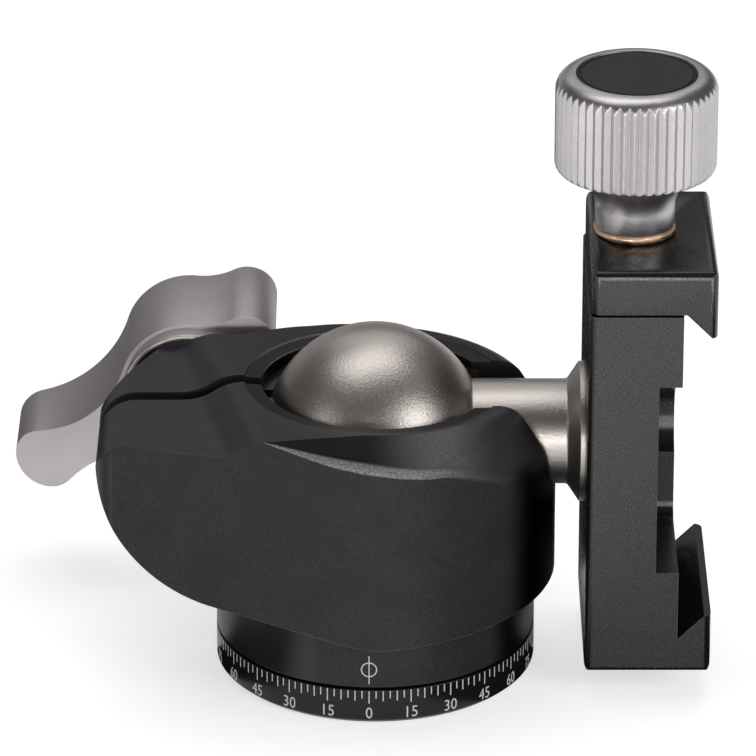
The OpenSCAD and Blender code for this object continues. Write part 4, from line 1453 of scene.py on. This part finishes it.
    def mouth_band(self) -> Blank:
        """Shallow band sunk round the mouth.

        Returns:
            Its cutter, tilted as the top is.
        """
        (low, high, deep), z = self.band, self.top_z
        profile = [(0, z - 0.5), (self.mouth_r - 0.1, z - 0.5), (low, z - deep)]
        profile += [(high - 0.12, z - 0.7 * deep), (high, z), (high, z + 2), (0, z + 2)]
        across, along = self.fall
        tilted = Matrix(((1, 0, 0, 0), (0, 1, 0, 0), (-across, -along, 1, 0), (0, 0, 0, 1)))
        return Blank.turned(profile, steps=192).moved(tilted)

    def lever_bores(self) -> list[Blank]:
        """Room along the lever's axis.

        Returns:
            Cutters for the stud, the nut, the stud's end, the collar and the wing.
        """
        at = (self.lever[0], 0.0, self.lever[1])
        nut_r, nut_y, nut_floor = self.nut_pocket
        wing_r, wing_y = self.wing_room
        return [
            Blank.rod(self.stud_r, 0.0, self.ear_back + 1.0, Axis.Y, at),
            Blank.rod(nut_r, nut_y, 0.0, Axis.Y, at),
            Blank.rod(self.stud_r, nut_floor, nut_y + 0.15, Axis.Y, at),
            Blank.rod(self.collar_recess, self.ear_back, self.behind, Axis.Y, at),
            Blank.rod(wing_r, wing_y, self.behind, Axis.Y, at, 160),
        ]

    def cutters(self) -> list[Blank]:
        """Everything that is cut out of the housing.

        Returns:
            The cutters, in the order that they are used.
        """
        half, over = self.slit / 2, self.rim + 2.0
        inner, outer, roof = self.glide_groove
        groove = [(inner, self.base_z), (outer, self.base_z), (outer, roof), (inner, roof)]
        lock_r, lock_y, lock_z = self.lock_bore
        return [
            self.bore(),
            self.mouth_band(),
            notch_cutter(self.notch_r, self.ball_z, over, 48),
            Blank.box((-34.0, -half, self.slit_foot), (-1.0, half, over)),
            Blank.turned(groove),
            *self.lever_bores(),
            Blank.rod(lock_r, lock_y, self.behind, Axis.Y, (0.0, 0.0, lock_z), 64),
        ]

    def body(self) -> None:
        """The housing itself."""
        blank = self.shell().keep(self.side()).cut(self.beyond_ear())
        r, low, e = self.collar_r, self.collar_z, 0.15
        collar = [(0, low)] + arc((r - e, low + e), e, -90, 0, 4)
        collar += [(r, self.collar_top), (0, self.collar_top)]
        blank.join(Blank.turned(collar, steps=256))
        blank.cut(*self.cutters())
        blank.settle("housing_body_milled", "housing_body", Coat.BLACK, "black_anodised", ["housing"], 9.0)

    def index(self) -> None:
        """Index mark on the collar: a circle crossed by an upright line."""
        turn = math.radians(PanBase.zero)
        r, proud = self.collar_r, PanBase.proud
        points: list[Vector] = []
        faces: list[list[int]] = []

        def wrap(u: float, z: float, reach: float) -> Vector:
            """Point on the collar at a distance u along its wall."""
            a = turn + u / r
            return Vector((reach * math.cos(a), reach * math.sin(a), z))

        steps, z0 = 48, self.index_z
        small, big = self.index_r
        under, over = r - 0.06, r + proud
        for i in range(steps):
            a = 2 * math.pi * i / steps
            for size, reach in ((big, over), (small, over), (small, under), (big, under)):
                points.append(wrap(size * math.cos(a), z0 + size * math.sin(a), reach))
        for i in range(steps):
            n = (i + 1) % steps
            faces += [[i * 4 + k, n * 4 + k, n * 4 + (k + 1) % 4, i * 4 + (k + 1) % 4] for k in range(4)]
        base = len(points)
        half, low, high = self.index_line
        for u, z in ((-half, low), (half, low), (half, high), (-half, high)):
            points += [wrap(u, z, r + proud * 1.3), wrap(u, z, under)]
        for i in range(4):
            n = (i + 1) % 4
            faces.append([base + i * 2, base + n * 2, base + n * 2 + 1, base + i * 2 + 1])
        faces += [[base, base + 2, base + 4, base + 6][::-1], [base + 1, base + 3, base + 5, base + 7]]
        Blank(points, faces).settle("index_mark", "housing_body", Coat.MARKS, "black_anodised")

    def build(self) -> None:
        """Builds the housing."""
        self.body()
        self.index()


@dataclass
class Socket:
    """Split liner that grips the ball."""

    ball_z: float = 28.1
    outer_r: float = 13.6
    inner_r: float = 12.55
    lip_r: float = 12.2
    foot: float = 19.55
    top: float = 32.75
    notch_r: float = 6.6
    slit: float = 2.2

    def build(self) -> None:
        """Builds the liner, hollowed to the ball."""
        z, half, over = self.ball_z, self.slit / 2, 36.2
        low, high = (math.degrees(math.asin((end - z) / self.inner_r)) for end in (self.foot, self.top))
        profile = arc((0.0, z), self.inner_r, low, high, 30)
        profile += [(self.lip_r, self.top), (self.outer_r, self.top), (self.outer_r, self.foot)]
        blank = Blank.turned(profile, steps=160)
        blank.cut(notch_cutter(self.notch_r, z, over, 40), Blank.box((-16, -half, 10), (-1, half, 36)))
        blank.settle(
            "socket_liner_split", "housing_body", Coat.DARK_POLYMER, "black_polymer", ["socket_liner"]
        )


@dataclass
class LockLever:
    """Wing lever with its collar."""

    axis: Point = (-21.8, 26.5)
    hub_r: float = 7.8
    long_arm: Sizes = (-16.9, -10.6, 3.6, 14.0)  # the bulb's X, Z and radius, and its hollows' radius
    short_arm: Sizes = (6.7, 5.4, 3.5, 8.0)
    face_y: float = 15.5
    end_y: float = 30.0
    sweep: float = 4.6
    sweep_x: float = -30.6
    collar_r: float = 7.5
    collar_y: float = 13.3
    collar_t: float = 1.4
    bore_r: float = 3.05
    boss_r: float = 7.4
    boss_y: Sizes = (14.72, 15.9)  # where it starts and ends
    screw_head: Sizes = (3.62, 2.4)  # radius and depth of its recess
    edge: float = 0.3

    def waist(self, x: float, z: float, r: float, w: float, side: int) -> tuple[Point, float]:
        """Hollow circle that touches the hub and an arm's bulb.

        Args:
            x: Reach of the bulb along X.
            z: Reach of the bulb along Z.
            r: Radius of the bulb.
            w: Radius of the hollow.
            side: 1 or -1 for either side of the arm.

        Returns:
            Centre and radius of the hollow.
        """
        d = math.hypot(x, z)
        a = ((self.hub_r + w) ** 2 - (r + w) ** 2 + d * d) / (2 * d)
        b = side * math.sqrt((self.hub_r + w) ** 2 - a * a)
        return ((a * x - b * z) / d, (a * z + b * x) / d), w

    def outline(self) -> list[Point]:
        """Outline of the wing.

        Returns:
            X and Z of each point, from the lever's axis.
        """
        hub = ((0.0, 0.0), self.hub_r)
        (lx, lz, lr, lw), (sx, sz, sr, sw) = self.long_arm, self.short_arm
        circles = [
            ((lx, lz), lr), self.waist(lx, lz, lr, lw, 1), hub, self.waist(sx, sz, sr, sw, -1),
            ((sx, sz), sr), self.waist(sx, sz, sr, sw, 1), hub, self.waist(lx, lz, lr, lw, -1),
        ]
        return chain(circles, 2.5)

    def wing(self) -> None:
        """Two-armed wing; its long arm's face sweeps back."""
        ax, az = self.axis
        outline = [(az + z, ax + x) for x, z in self.outline()]
        blank = Blank.extruded(outline, self.face_y, self.end_y, Axis.Y)
        tip = ax + self.long_arm[0] - self.long_arm[2] - 1.0
        run, steps = self.sweep_x - tip, 12
        share = [i / steps for i in range(steps + 1)]
        wedge = [(self.sweep_x - run * k, self.face_y + self.sweep * k**1.1) for k in share]
        wedge += [(tip, self.face_y - 2.0), (self.sweep_x, self.face_y - 2.0)]
        at = (ax, 0.0, az)
        head_r, sunk = self.screw_head
        blank.cut(Blank.extruded(wedge, 0.0, 60.0))
        blank.cut(Blank.rod(head_r, self.end_y - sunk, self.end_y + 1.0, Axis.Y, at))
        blank.bevel(self.edge, 3)
        blank.join(Blank.rod(self.boss_r, *self.boss_y, Axis.Y, at, 128))
        blank.settle("lever_wing_milled", "lock_lever", Coat.WING, "champagne_anodised", ["lever_wing"], 30.0)

    def collar(self) -> None:
        """Turned collar behind the wing, its edges broken."""
        r, low, high, e = self.collar_r, self.collar_y, self.collar_y + self.collar_t, 0.22
        profile = [(self.bore_r, low)] + arc((r - e, low + e), e, -90, 0, 5)
        profile += arc((r - e, high - e), e, 0, 90, 5) + [(self.bore_r, high)]
        Blank.turned(profile, Axis.Y, (self.axis[0], 0.0, self.axis[1]), 128).settle(
            "lever_collar_turned", "lever_thrust", Coat.CHAMPAGNE, "champagne_anodised", ["lever_collar"]
        )

    def build(self) -> None:
        """Builds the lever."""
        self.wing()
        self.collar()


@dataclass
class BallAndStem:
    """Ball, stem and the flange that carries the clamp."""

    ball_r: float = 12.5
    ball_z: float = 28.1
    stem_r: float = 6.0
    spigot_r: float = 4.0
    spigot_x: float = 7.5
    socket_x: float = 6.0
    root_r: float = 0.5
    flange_r: float = 8.0
    cone_x: float = 22.05
    rim_x: float = 23.1
    seat_x: float = 23.75
    screw_hole: Sizes = (3.02, 14.75)  # radius, X of its floor

    def ball(self) -> None:
        """Ball with the seat that the stem's shoulder meets."""
        edge = math.degrees(math.asin(self.stem_r / self.ball_r))
        shoulder = self.ball_r * math.cos(math.radians(edge))
        profile = [(y, x) for x, y in arc((0.0, 0.0), self.ball_r, 180.0, edge, 110)]
        hole = self.spigot_r + 0.05
        profile += [(hole, shoulder), (hole, self.socket_x), (0.0, self.socket_x)]
        Blank.turned(profile, Axis.X, (0.0, 0.0, self.ball_z), 192).settle(
            "ball_turned", "ball_body", Coat.CHAMPAGNE, "champagne_anodised", ["ball"]
        )

    def stem(self) -> None:
        """Stem with a rounded root, and its flange."""
        s, f, e, root = self.stem_r, self.flange_r, 0.14, self.root_r
        start = math.sqrt(self.ball_r**2 - s * s) + 0.02
        profile: list[Point] = [(0.0, self.spigot_x), (self.spigot_r, self.spigot_x), (self.spigot_r, start)]
        profile += [(s - 0.02, start), (s, start + 0.12), (s, self.cone_x - root)]
        profile += [(r, x) for x, r in arc((self.cone_x - root, s + root), root, 270.0, 330.0, 6)]
        profile += [(f - 0.1, self.rim_x)]
        profile += [(r, x) for x, r in arc((self.seat_x - 0.5, f - e), e, 150.0, 90.0, 4)]
        hole_r, hole_x = self.screw_hole
        profile += [(f, self.seat_x), (hole_r, self.seat_x), (hole_r, hole_x), (0.0, hole_x)]
        Blank.turned(profile, Axis.X, (0.0, 0.0, self.ball_z), 160).settle(
            "stem_turned", "clamp", Coat.CHAMPAGNE, "champagne_anodised", ["stem"]
        )

    def build(self) -> None:
        """Builds ball and stem."""
        self.ball()
        self.stem()


@dataclass
class PlateClamp:
    """Dovetail clamp: body with the fixed jaw, and the moving jaw."""

    back_x: float = 23.75
    seat_x: float = 34.3
    jaw_x: float = 38.1
    half_w: float = 12.0
    foot: float = 3.2
    top: float = 47.55
    jaw_foot: float = 47.82
    jaw_top: float = 53.0
    jaw_back: float = 0.25
    jaw_in: float = 0.35
    hook: float = 2.87
    root: float = 7.5
    undercut: float = 3.0
    edge_r: float = 1.1
    edge_break: float = 0.16
    pocket_z: Sizes = (15.9, 39.0)  # foot and top
    pocket_y: float = 3.0
    pocket_r: float = 2.0
    pocket_depth: float = 2.6
    ball_z: float = 28.1
    fixing_r: float = 3.1
    fixing_head: Sizes = (5.1, 28.15)  # radius, X of its seat
    screw_x: float = 29.1
    screw_r: float = 2.55
    screw_end: float = 39.2
    clip_seat: Sizes = (3.9, 0.7)  # radius, depth
    pin_pitch: float = 16.0
    pin_hole: Sizes = (1.55, 13.3)  # radius, depth
    spring_hole: Sizes = (2.5, 6.0)  # radius, depth

    def plan(self, low: float, high: float, back: float) -> Blank:
        """Rounded outline seen from the end.

        Args:
            low: Height where it starts.
            high: Height where it ends.
            back: Place of the face towards the stem.

        Returns:
            The rounded block.
        """
        e, y = self.edge_r, self.half_w - self.edge_r
        left, right = back + e, self.jaw_x - e
        outline: list[Point] = []
        for i, corner in enumerate(((right, y), (left, y), (left, -y), (right, -y))):
            outline += arc(corner, e, 90 * i, 90 * i + 90, 10)
        return Blank.extruded(outline, low, high)

    def flank(self, low: float, high: float, below: bool) -> Blank:
        """Side view whose two edges at one end are rounded.

        Args:
            low: Height where it starts.
            high: Height where it ends.
            below: Rounds the lower edges, otherwise the upper ones.

        Returns:
            The rounded block.
        """
        e, w = self.edge_r, self.half_w
        if below:
            outline = arc((e - w, low + e), e, 180, 270, 10) + arc((w - e, low + e), e, 270, 360, 10)
            outline += [(w, high), (-w, high)]
        else:
            outline = arc((w - e, high - e), e, 0, 90, 10) + arc((e - w, high - e), e, 90, 180, 10)
            outline += [(-w, low), (w, low)]
        return Blank.extruded(outline, self.back_x - 1, self.jaw_x + 1, Axis.X)

    def across(self, section: list[Point]) -> Blank:
        """Prism a little wider than the clamp, from its section in X and Z."""
        reach = self.half_w + 1
        return Blank.extruded([(z, x) for x, z in section], -reach, reach, Axis.Y)

    def holes(self) -> list[Blank]:
        """Everything that is cut out of the clamp's body.

        Returns:
            Cutters for the pocket, the fixing screw, the clamp screw with its clip, and the
            guide pins with their springs.
        """
        (low, high), r = self.pocket_z, self.pocket_r
        side, end = self.pocket_y - r, -self.half_w - 2
        outline: list[Point] = [(end, low)] + arc((side, low + r), r, 270, 360, 10)
        outline += arc((side, high - r), r, 0, 90, 10) + [(end, high)]
        stem, screw = (0.0, 0.0, self.ball_z), (self.screw_x, 0.0, 0.0)
        before, past, over = 20.0, 36.0, 49.0
        head_r, head_x = self.fixing_head
        clip_r, clip_depth = self.clip_seat
        cutters = [
            Blank.extruded(outline, self.seat_x - self.pocket_depth, self.seat_x + 2, Axis.X),
            Blank.rod(self.fixing_r, before, past, Axis.X, stem),
            Blank.rod(head_r, head_x, past, Axis.X, stem),
            Blank.rod(self.screw_r, self.screw_end, over, Axis.Z, screw),
            Blank.rod(clip_r, self.top - clip_depth, over, Axis.Z, screw),
        ]
        for y in (-self.pin_pitch / 2, self.pin_pitch / 2):
            for hole_r, depth in (self.pin_hole, self.spring_hole):
                at = (self.screw_x, y, 0.0)
                cutters.append(Blank.rod(hole_r, self.top - depth, over, Axis.Z, at, 48))
        return cutters

    def body(self) -> None:
        """Body with its fixed jaw, pocket and holes."""
        e, z0, seat, lip = self.edge_r, self.foot, self.seat_x, self.root + self.undercut
        section: list[Point] = arc((self.back_x + e, z0 + e), e, 180, 270, 10)
        section += arc((self.jaw_x - e, z0 + e), e, 270, 360, 10)
        section += [(self.jaw_x, lip), (seat + self.undercut, lip), (seat, self.root)]
        section += [(seat, self.top), (self.back_x, self.top)]
        blank = self.across(section)
        blank.keep(self.plan(z0 - 1, self.top + 1, self.back_x)).keep(self.flank(z0, self.top + 1, True))
        blank.cut(*self.holes())
        blank.bevel(self.edge_break, 2)
        blank.settle("clamp_body_milled", "clamp", Coat.CLAMP, "clamp_black", ["clamp_body"], 30.0)

    def jaw(self) -> None:
        """Moving jaw with its hooked dovetail."""
        e, foot, high, low = self.edge_r, self.jaw_foot, self.jaw_top, 40.0
        back, seat = self.back_x + self.jaw_back, self.seat_x + self.jaw_in
        section: list[Point] = [(back, foot), (seat, foot)]
        section += [(seat + self.hook, foot - self.hook), (self.jaw_x, foot - self.hook)]
        section += arc((self.jaw_x - e, high - e), e, 0, 90, 10) + arc((back + e, high - e), e, 90, 180, 10)
        blank = self.across(section)
        blank.keep(self.plan(low, high + 1, back)).keep(self.flank(low, high, False))
        blank.cut(Blank.rod(self.screw_r, low, high + 1, Axis.Z, (self.screw_x, 0.0, 0.0)))
        blank.bevel(self.edge_break, 2)
        blank.settle("moving_jaw_milled", "jaw", Coat.CLAMP, "clamp_black", ["moving_jaw"], 30.0)

    def build(self) -> None:
        """Builds the clamp."""
        self.body()
        self.jaw()


@dataclass
class ClampKnob:
    """Fluted knob on its hollow neck, with the black inlay and the bronze washer."""

    x: float = 29.1
    washer_z: float = 53.0
    neck_z: float = 54.0
    neck_r: float = 4.5
    flare_r: float = 4.4
    grip_z: float = 60.6
    top: float = 72.0
    radius: float = 9.1
    depth: float = 0.4
    teeth: int = 50
    shoulder: float = 2.0
    chamfer: float = 0.8
    bore_r: float = 2.52
    inlay_r: float = 6.7
    inlay_t: float = 0.8
    washer_r: float = 4.6
    washer_t: float = 1.0
    washer_bore: float = 2.55

    def knob(self) -> None:
        """Grip with its teeth, and the neck below it."""
        r, g, t = self.radius, self.grip_z, self.top
        s, c, e = self.shoulder, self.chamfer, 0.15
        flare = arc((self.neck_r + self.flare_r, g - self.flare_r), self.flare_r, 180, 108, 18)
        profile: list[Point] = [(self.bore_r, self.neck_z)]
        profile += arc((self.neck_r - e, self.neck_z + e), e, -90, 0, 3) + flare
        profile += [(flare[-1][0], g), (r - self.depth - c + 0.25, g)]
        profile += arc((r - c - 0.05, g + c + 0.05), c + 0.05, -60, 0, 8)
        profile += [(r, g + c + (t - s - g - c) * i / 20) for i in range(1, 20)]
        profile += arc((r - s, t - s), s, 0, 90, 22)
        lip, floor = self.inlay_r + 0.02, t - self.inlay_t
        profile += [(lip + 0.12, t), (lip, t - 0.12), (lip, floor), (self.bore_r, floor)]
        blank = Blank.turned(profile, steps=self.teeth * 8)
        fluted(blank, r, self.depth, self.teeth, g - 0.2, t - 0.3, Coat.KNURL)
        blank.moved(Matrix.Translation((self.x, 0.0, 0.0)))
        blank.settle("clamp_knob_fluted", "knob", Coat.KNURL, "champagne_anodised", ["clamp_knob"], 20.0)

    def inlay(self) -> None:
        """Black disc with a thin groove near its edge."""
        r, z, foot = self.inlay_r, self.top - 0.1, self.top - self.inlay_t
        profile: list[Point] = [(0.0, foot), (r, foot), (r, z - 0.1), (r - 0.1, z), (r - 0.24, z)]
        profile += [(r - 0.3, z - 0.12), (r - 0.4, z - 0.12), (r - 0.46, z), (0.0, z + 0.04)]
        Blank.turned(profile, at=(self.x, 0.0, 0.0), steps=192).settle(
            "knob_inlay_disc", "knob", Coat.INLAY, "inlay_black", ["knob_inlay"], 20.0
        )

    def washer(self) -> None:
        """Bronze washer with rolled edges."""
        low, high, r, e = self.washer_z, self.washer_z + self.washer_t, self.washer_r, 0.45
        profile = [(self.washer_bore, low)] + arc((r - e, low + e), e, -90, 0, 6)
        profile += arc((r - e, high - e), e, 0, 90, 6) + [(self.washer_bore, high)]
        Blank.turned(profile, at=(self.x, 0.0, 0.0), steps=128).settle(
            "knob_washer_turned", "knob", Coat.BRONZE, "bronze", ["knob_washer"]
        )

    def build(self) -> None:
        """Builds knob, inlay and washer."""
        self.knob()
        self.inlay()
        self.washer()


@dataclass
class PanLock:
    """Fluted knob of the pan lock behind the housing."""

    z: float = 7.3
    neck_y: float = 18.5
    knob_y: float = 21.4
    length: float = 8.0
    radius: float = 5.0
    teeth: int = 30
    depth: float = 0.35
    neck_r: float = 2.5
    screw_hole: Sizes = (2.02, 25.45)  # radius, Y of its floor
    edges: Sizes = (0.6, 1.0)  # rounding at the inner and the outer end
    dish: float = 0.25

    def build(self) -> None:
        """Turns the knob upright, cuts its flutes and lays it along +Y."""
        r, y0, y1 = self.radius, self.knob_y, self.knob_y + self.length
        hole_r, hole_y = self.screw_hole
        low, high = self.edges
        profile: list[Point] = [(hole_r, self.neck_y), (self.neck_r, self.neck_y), (self.neck_r, y0)]
        profile += [(r - 0.9, y0)] + arc((r - low, y0 + low), low, -70, 0, 6)
        profile += [(r, y0 + low + (self.length - low - high) * i / 14) for i in range(1, 14)]
        profile += arc((r - high, y1 - high), high, 0, 90, 12) + [(r - 1.6, y1)]
        profile += [(r - 2.0, y1 - self.dish), (0.0, y1 - self.dish), (0.0, hole_y), (hole_r, hole_y)]
        blank = Blank.turned(profile, steps=self.teeth * 8)
        fluted(blank, r, self.depth, self.teeth, y0 - 0.2, y1 - 0.4, Coat.KNURL)
        blank.moved(Matrix.Translation((0.0, 0.0, self.z)) @ Axis.Y.value)
        blank.settle(
            "pan_lock_knob_fluted", "pan_lock", Coat.KNURL, "champagne_anodised", ["pan_lock_knob"], 20.0
        )


@dataclass
class Hardware:
    """Screws, washers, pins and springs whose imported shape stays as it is."""

    coats: dict[str, Coat] = field(
        default_factory=lambda: {
            "tripod_bush": Coat.STEEL, "glide_ring": Coat.PALE_POLYMER, "wave_washer": Coat.SPRING,
            "retaining_plate": Coat.STEEL, "retainer_screws": Coat.STEEL, "seat_cup": Coat.PALE_POLYMER,
            "seat_circlip": Coat.SPRING, "clamping_nut": Coat.STEEL, "pan_lock_shoe": Coat.BRONZE,
            "pan_lock_screw": Coat.STEEL, "lever_washer": Coat.DARK_POLYMER, "lever_stud": Coat.STEEL,
            "lever_cap_screw": Coat.STEEL, "fixing_screw": Coat.STEEL, "anti_twist_pins": Coat.STEEL,
            "guide_pins": Coat.STEEL, "jaw_springs": Coat.SPRING, "clamp_screw": Coat.STEEL,
            "screw_clip": Coat.SPRING,
        }
    )

    def build(self) -> None:
        """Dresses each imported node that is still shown."""
        for name, coat in self.coats.items():
            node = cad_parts[name]
            for place in node.material_slots:
                place.material = coat.value.material()
            log.info("%s: dressed in %s", name, coat.value.name)


# ---------- studio ----------


@dataclass
class Studio:
    """Pale floor, soft lights, dark cards beside the ball head that paint shade into its reflections, and the
    camera; places are in metres.
    """

    eye: Spot = (0.000307, -0.63942, 0.32829)
    tilt: float = 65.338
    lens: float = 295.1
    sensor: float = 36.0
    aim: Spot = (0.0, 0.0, 0.03)
    reach: float = 3.0
    card_z: float = 0.0004
    air_colour: Colour = (0.93, 0.9, 0.91)
    air_strength: float = 0.1
    # name, place, width and height, watts
    lamps: tuple[tuple[str, Spot, Point, float], ...] = (
        ("key", (0.42, -0.36, 0.3), (0.3, 0.26), 1.1),
        ("front", (-0.02, -0.56, 0.085), (0.4, 0.09), 0.9),
        ("top", (-0.06, 0.16, 0.75), (0.7, 0.45), 2.1),
        ("back", (0.0, 0.62, 0.5), (0.7, 0.25), 0.5),
        ("low", (-0.3, 0.6, 0.17), (0.4, 0.16), 0.07),
        ("left", (-0.6, -0.35, 0.3), (0.2, 0.2), 0.3),
    )
    # dark cards seen only in reflections: painted shade standing in for the shaded floor beside the ball head
    # name, X and Y of the corners
    cards: tuple[tuple[str, tuple[Point, ...]], ...] = (
        ("shade_card_left", ((-0.016, -0.016), (-0.034, -0.036), (-0.034, 0.0), (-0.018, 0.0))),
        (
            "shade_card_right",
            ((0.009, -0.022), (0.03, -0.05), (0.05, -0.085), (0.12, -0.085), (0.12, 0.0), (0.018, 0.0)),
        ),
        (
            "shade_card_side",
            ((-0.03, 0.04), (0.0195, 0.02), (0.0195, -0.02), (0.0232, -0.02), (0.0232, 0.25), (-0.03, 0.25)),
        ),
        ("shade_card_back", ((-0.5, 0.035), (-0.045, 0.035), (-0.045, 0.5), (-0.5, 0.5))),
    )

    def sheet(self, name: str, corners: Sequence[Point], height: float, coat: Coat) -> bpy.types.Object:
        """Flat sheet that belongs to the studio.

        Args:
            name: Name of the sheet.
            corners: X and Y of its corners.
            height: Height that it lies at.
            coat: Its finish.

        Returns:
            The sheet.
        """
        mesh = bpy.data.meshes.new(name)
        mesh.from_pydata([(x, y, height) for x, y in corners], [], [tuple(range(len(corners)))])
        mesh.materials.append(coat.value.material())
        thing = put(name, mesh)
        return thing

    def floor(self) -> None:
        """Plain pale floor."""
        far = self.reach
        self.sheet("floor", ((-far, -far), (far, -far), (far, far), (-far, far)), 0.0, Coat.FLOOR)
        Coat.FLOOR.value.material().cycles.emission_sampling = "NONE"

    def lay_shade_card(self, name: str, corners: Sequence[Point]) -> None:
        """Dark card on the floor, seen only in reflections, that paints shade into the gloss of what stands
        next to it.

        Args:
            name: Name of the card.
            corners: X and Y of its corners.
        """
        card = self.sheet(name, corners, self.card_z, Coat.SHADE_CARD)
        # seen only by glossy rays, so it paints shade into reflections and casts none
        for rays in ("camera", "diffuse", "shadow", "transmission"):
            setattr(card, f"visible_{rays}", False)

    def lamp(self, name: str, spot: Spot, size: Point, power: float) -> None:
        """Adds a soft rectangular light that points at the ball head.

        Args:
            name: Name of the light.
            spot: Where it hangs.
            size: Its width and height.
            power: Its power in watts.
        """
        data = bpy.data.lights.new(name, "AREA")
        data.shape, data.size, data.size_y, data.energy = "RECTANGLE", *size, power
        thing = put(name, data)
        thing.location = spot
        thing.rotation_euler = (Vector(self.aim) - Vector(spot)).to_track_quat("-Z", "Y").to_euler()

    def camera(self) -> None:
        """Camera at the viewing angle."""
        data = bpy.data.cameras.new("camera")
        data.lens, data.sensor_width, data.clip_start, data.clip_end = self.lens, self.sensor, 0.01, 50.0
        thing = put("camera", data)
        thing.location = self.eye
        thing.rotation_euler = (math.radians(self.tilt), 0.0, 0.0)
        bpy.context.scene.camera = thing

    def air(self) -> None:
        """Even grey surroundings, and a plain view of the colours."""
        world = bpy.data.worlds.new("air")
        world.use_nodes = True
        world.node_tree.nodes.clear()
        bench = Bench(world.node_tree)
        glow = bench.add(
            "ShaderNodeBackground", inputs={"Color": (*self.air_colour, 1.0), "Strength": self.air_strength}
        )
        bench.node("ShaderNodeOutputWorld", inputs={"Surface": glow})
        bpy.context.scene.world = world
        bpy.context.scene.view_settings.view_transform = "Standard"

    def build(self) -> None:
        """Builds the studio."""
        self.floor()
        self.camera()
        self.air()
        for lamp in self.lamps:
            self.lamp(*lamp)
        for card in self.cards:
            self.lay_shade_card(*card)


def main() -> None:
    """Builds the ball head and its studio."""
    logging.basicConfig(level=logging.INFO, format="%(name)s: %(message)s")
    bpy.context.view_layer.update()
    lower = (PanBase(), Housing(), Socket(), PanLock(), LockLever())
    upper = (BallAndStem(), PlateClamp(), ClampKnob())
    for part in (*lower, *upper, Hardware(), Studio()):
        log.info("building %s", type(part).__name__)
        part.build()


if __name__ == "__main__":
    main()
